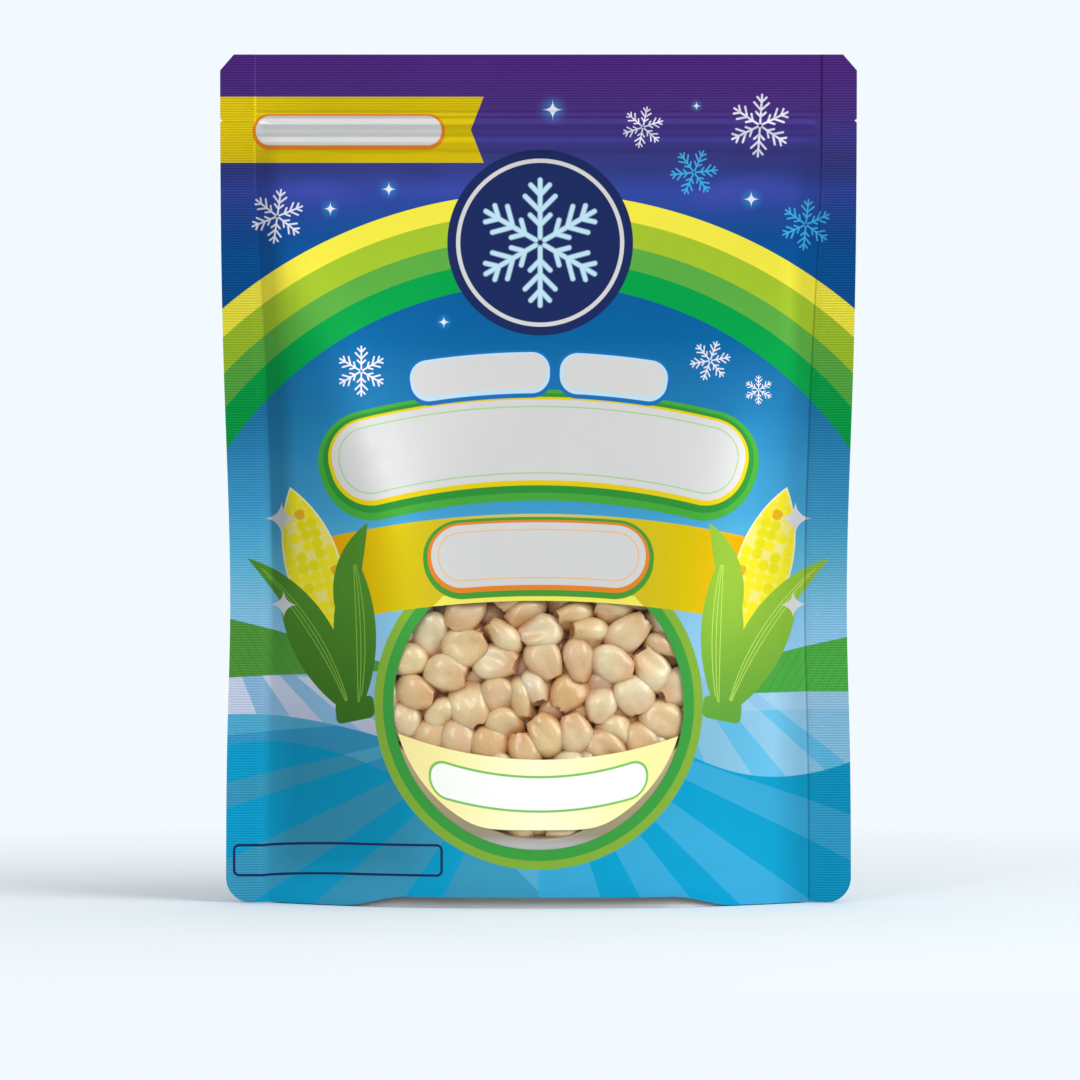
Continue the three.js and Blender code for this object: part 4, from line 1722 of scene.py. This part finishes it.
def corn_material(heap):
    """Dry kernels: creamy crowns, tan bases, faint blotches, a fine skin, and painted shade where a
    kernel is tucked in between others or lies deep behind the film.
    """
    material, tree = new_material("freeze_dried_corn")
    paper = Paper(tree)
    base, shade, hue, tucked_shade = (paper.layer(name) for name in ("base", "shade", "hue", "tucked_shade"))
    blotch = paper.noise(3.2, 3.0)
    paper.colour = mixed(tree, hue * 0.7, heap.crown, ink("f4d48a"))
    paper.tint((base * 0.7).math("ADD", blotch.line(0.9, -0.42), clamp=True), heap.base)
    paper.tint(shade.line(0.8, -0.15, clamp=True), ink("dda660"))
    # Painted shade between the kernels and deep behind the film
    paper.tint(tucked_shade.line(0.62, 0, clamp=True), heap.shade)
    fine = paper.noise(0.5, 3.0)
    wrinkle = paper.noise(1.6, 2.0)
    bump = add_node(tree, "ShaderNodeBump", Height=fine * 0.3 + wrinkle)
    bump.inputs["Strength"].default_value = 0.35
    bump.inputs["Distance"].default_value = 0.25 * MM
    shader = add_node(tree, "ShaderNodeBsdfPrincipled", Base_Color=paper.colour)
    feed(tree, shader.inputs["Roughness"], wrinkle.line(0.2, 0.17))
    feed(tree, shader.inputs["Normal"], bump.outputs[0])
    shader.inputs["Specular IOR Level"].default_value = 0.8
    shader.inputs["Coat Weight"].default_value = 0.45
    shader.inputs["Coat Roughness"].default_value = 0.16
    shader.inputs["Subsurface Weight"].default_value = 0.3
    shader.inputs["Subsurface Radius"].default_value = (1.0, 0.55, 0.25)
    shader.inputs["Subsurface Scale"].default_value = 1.6 * MM
    output = add_node(tree, "ShaderNodeOutputMaterial")
    feed(tree, output.inputs["Surface"], shader.outputs[0])
    return material


def core_material(heap):
    """Corn deep in the heap, in the dark colour of the kernels' painted shade with lighter blotches; its
    hollows shade darker still under the lights.
    """
    material, tree = new_material("deep_corn")
    paper = Paper(tree)
    blotch = paper.noise(4, 3.0)
    paper.colour = mixed(tree, blotch.line(1.6, -0.4, clamp=True), heap.shade, ink("cd975a"))
    bump = add_node(tree, "ShaderNodeBump", Height=paper.noise(1.2, 3.0))
    bump.inputs["Strength"].default_value = 0.4
    bump.inputs["Distance"].default_value = 0.3 * MM
    shader = add_node(tree, "ShaderNodeBsdfPrincipled", Base_Color=paper.colour)
    feed(tree, shader.inputs["Roughness"], blotch.line(0.2, 0.5))
    feed(tree, shader.inputs["Normal"], bump.outputs[0])
    output = add_node(tree, "ShaderNodeOutputMaterial")
    feed(tree, output.inputs["Surface"], shader.outputs[0])
    return material


def lining_material():
    """The unprinted inside of the laminate: grey white at the foot, then beige that is darkest just above
    it and lighter higher up, painted shade and painted warm light from the corn.
    """
    material, tree = new_material("inner_laminate")
    paper = Paper(tree)
    # Painted shade and the corn's painted warm bounce light: grey white at the foot, darkest beige just
    # above it, lighter beige higher up
    stops = [(15.2, ink("cfcdcf")), (17.5, ink("ada08a")), (23, ink("b7a983")), (38, ink("d3c595"))]
    paper.colour = ramped(paper.z, 10, 60, stops)
    paper.tint(paper.noise(9, 2.0).line(1.4, -0.3, clamp=True) * 0.3, ink("bdb09a"))
    output = add_node(tree, "ShaderNodeOutputMaterial")
    feed(tree, output.inputs["Surface"], film_finish(paper, 0.35))
    return material


# ---------------------------------------------------------------------------------------------
# The studio
# ---------------------------------------------------------------------------------------------

FLOOR_HALF = 6.0  # metres
FLOOR_FADE = (0.1, 0.32)  # where the lit floor turns into plain backdrop, metres from the pouch
FLOOR_SHARES = (0.8, 0.82)  # of the backdrop's brightness, so that the lit floor matches it
LIGHT_DISTANCE = 1.3  # metres from the pouch's middle
KEY_SIZE = (0.8, 1.1)  # metres
STRIP_SIZE = (0.2, 0.75)
STRIP_ELEVATION = math.radians(27)
AIM = (0.36, 0, 87.0)  # what the camera looks at, millimetres


def floor_material(studio):
    """Lit near the pouch, so that it takes the shadow, and the backdrop's own colour beyond."""
    material, tree = new_material("studio_floor")
    paper = Paper(tree)
    low, high = FLOOR_FADE
    away = paper.distance(paper.x, paper.y).line(MM / (high - low), -low / (high - low), clamp=True)
    grain = paper.noise(2.0, 2.0)
    shader = add_node(tree, "ShaderNodeBsdfDiffuse")
    shades = [tuple(share * value for value in studio.backdrop) for share in FLOOR_SHARES]
    feed(tree, shader.inputs["Color"], mixed(tree, grain, *shades))
    glow = add_node(tree, "ShaderNodeEmission")
    glow.inputs["Color"].default_value = (*studio.backdrop, 1)
    seen = Field(tree, add_node(tree, "ShaderNodeLightPath").outputs["Is Camera Ray"])
    feed(tree, glow.inputs["Strength"], seen.line(1 - studio.bounce, studio.bounce))
    both = add_node(tree, "ShaderNodeMixShader")
    feed(tree, both.inputs[0], away)
    feed(tree, both.inputs[1], shader.outputs[0])
    feed(tree, both.inputs[2], glow.outputs[0])
    output = add_node(tree, "ShaderNodeOutputMaterial")
    feed(tree, output.inputs["Surface"], both.outputs[0])
    return material


def build_floor(studio):
    """A wide flat floor under the pouch."""
    half = FLOOR_HALF
    mesh = bpy.data.meshes.new("floor")
    corners = [(-half, -half, 0), (half, -half, 0), (half, half, 0), (-half, half, 0)]
    mesh.from_pydata(corners, [], [(0, 1, 2, 3)])
    mesh.materials.append(floor_material(studio))
    floor = bpy.data.objects.new("floor", mesh)
    bpy.context.scene.collection.objects.link(floor)


def build_world(studio):
    """The backdrop's colour as seen, and a dimmer light of the same colour from all round."""
    world = bpy.data.worlds.new("studio")
    world.use_nodes = True
    tree = world.node_tree
    tree.nodes.clear()
    seen = add_node(tree, "ShaderNodeBackground")
    seen.inputs["Color"].default_value = (*studio.backdrop, 1)
    place = add_node(tree, "ShaderNodeTexCoord").outputs["Generated"]
    up = Field(tree, add_node(tree, "ShaderNodeSeparateXYZ", Vector=place).outputs["Z"])
    light = add_node(tree, "ShaderNodeBackground")
    light.inputs["Color"].default_value = (0.98, 0.99, 1, 1)
    feed(tree, light.inputs["Strength"], up.line(0.8, 1) * studio.ambient)
    ray = add_node(tree, "ShaderNodeLightPath")
    both = add_node(tree, "ShaderNodeMixShader")
    feed(tree, both.inputs[0], ray.outputs["Is Camera Ray"])
    feed(tree, both.inputs[1], light.outputs[0])
    feed(tree, both.inputs[2], seen.outputs[0])
    output = add_node(tree, "ShaderNodeOutputWorld")
    feed(tree, output.inputs["Surface"], both.outputs[0])
    bpy.context.scene.world = world


def aimed(thing, azimuth, elevation, distance, target):
    """Places a light or camera round a target, looking at it. Azimuth 0 is straight in front."""
    back = Vector(
        (
            math.sin(azimuth) * math.cos(elevation),
            -math.cos(azimuth) * math.cos(elevation),
            math.sin(elevation),
        )
    )
    thing.location = target + back * distance
    thing.rotation_mode = "QUATERNION"
    thing.rotation_quaternion = back.to_track_quat("Z", "Y")
    bpy.context.scene.collection.objects.link(thing)


def build_light(name, power, size, azimuth, elevation):
    """A soft rectangular light, turned to the pouch's middle."""
    light = bpy.data.lights.new(name, "AREA")
    light.shape = "RECTANGLE"
    light.size, light.size_y = size
    light.energy = power
    lamp = bpy.data.objects.new(name, light)
    aimed(lamp, azimuth, elevation, LIGHT_DISTANCE, Vector((0, 0, HEIGHT / 2 * MM)))


def build_camera(studio):
    """Straight on and a little above, framed so that the pouch stands left of and above middle."""
    data = bpy.data.cameras.new("camera")
    data.sensor_width = 36
    data.lens = data.sensor_width * studio.distance / studio.view_height
    data.clip_end = 20
    camera = bpy.data.objects.new("camera", data)
    target = Vector(AIM) * MM
    aimed(camera, 0, studio.view_elevation, studio.distance * MM, target)
    bpy.context.scene.camera = camera
    bpy.context.scene.view_settings.view_transform = "Standard"


# ---------------------------------------------------------------------------------------------
# Operators and panel
# ---------------------------------------------------------------------------------------------


def pouch_form():
    """The pouch's form, with the sizes that the panel shows."""
    return PouchForm(in_millimetres(bpy.context.scene.pouch_shape))


class POUCH_OT_films(bpy.types.Operator):
    """Build the printed front and back films and the gusset between them"""

    bl_idname = "pouch.films"
    bl_label = "Build Films"

    def execute(self, context):
        form = pouch_form()
        inks = context.scene.pouch_inks
        front = printed_film("printed_front_film", paint_front, inks, form)
        back = printed_film("printed_back_film", paint_back, inks, form)
        under = printed_film("gusset_film", paint_gusset, inks, form)
        front_film = film_sheet(form, -1, True).piece("front_film", front)
        back_film = film_sheet(form, 1, False).piece("back_film", back, flip=True)
        gusset = gusset_sheet(form).piece("gusset", under)
        for piece in (front_film, back_film, gusset):
            own(piece, "pouch")
        return {"FINISHED"}


class POUCH_OT_window(bpy.types.Operator):
    """Build the clear window film"""

    bl_idname = "pouch.window"
    bl_label = "Build Window"

    def execute(self, context):
        material = window_film_material(context.scene.pouch_inks)
        window = window_sheet(pouch_form()).piece("window_film", material)
        own(window, "window")
        return {"FINISHED"}


class POUCH_OT_corn(bpy.types.Operator):
    """Settle the kernels behind the window and build them with the corn and lining behind"""

    bl_idname = "pouch.corn"
    bl_label = "Build Corn"

    def execute(self, context):
        form = pouch_form()
        heap = in_millimetres(context.scene.pouch_corn)
        kernels = kernels_piece(form, heap, corn_material(heap))
        core = core_sheet(form).piece("heap_core", core_material(heap))
        lining = lining_sheet(form).piece("lining", lining_material())
        own(kernels, "corn")
        own(core, "corn")
        own(lining, "pouch")
        return {"FINISHED"}


class POUCH_OT_studio(bpy.types.Operator):
    """Build the floor, the light and the camera"""

    bl_idname = "pouch.studio"
    bl_label = "Build Studio"

    def execute(self, context):
        studio = in_millimetres(context.scene.pouch_studio)
        build_camera(studio)
        build_world(studio)
        build_light("key", studio.key, KEY_SIZE, studio.key_azimuth, studio.key_elevation)
        build_light("strip", studio.strip, STRIP_SIZE, -studio.strip_azimuth, STRIP_ELEVATION)
        build_floor(studio)
        return {"FINISHED"}


class POUCH_PT_sidebar(bpy.types.Panel):
    """Sizes, colours and the buttons that build the pouch"""

    bl_idname = "POUCH_PT_sidebar"
    bl_label = "Stand-up Pouch"
    bl_space_type = "VIEW_3D"
    bl_region_type = "UI"
    bl_category = "Pouch"

    def draw(self, context):
        scene = context.scene
        for group, operator in (
            (scene.pouch_studio, POUCH_OT_studio),
            (scene.pouch_shape, POUCH_OT_films),
            (scene.pouch_inks, POUCH_OT_window),
            (scene.pouch_corn, POUCH_OT_corn),
        ):
            box = self.layout.box()
            for name in group.__annotations__:
                box.prop(group, name)
            box.operator(operator.bl_idname)


GROUPS = {
    "pouch_shape": PouchShape,
    "pouch_inks": PrintInks,
    "pouch_corn": CornHeap,
    "pouch_studio": StudioLight,
}
OPERATORS = (POUCH_OT_studio, POUCH_OT_films, POUCH_OT_window, POUCH_OT_corn)


def register():
    for name, group in GROUPS.items():
        bpy.utils.register_class(group)
        setattr(bpy.types.Scene, name, PointerProperty(type=group))
    for operator in OPERATORS:
        bpy.utils.register_class(operator)
    bpy.utils.register_class(POUCH_PT_sidebar)


def unregister():
    bpy.utils.unregister_class(POUCH_PT_sidebar)
    for operator in reversed(OPERATORS):
        bpy.utils.unregister_class(operator)
    for name, group in GROUPS.items():
        delattr(bpy.types.Scene, name)
        bpy.utils.unregister_class(group)


def main():
    register()
    bpy.ops.pouch.studio()
    bpy.ops.pouch.films()
    bpy.ops.pouch.window()
    bpy.ops.pouch.corn()


if __name__ == "__main__":
    main()
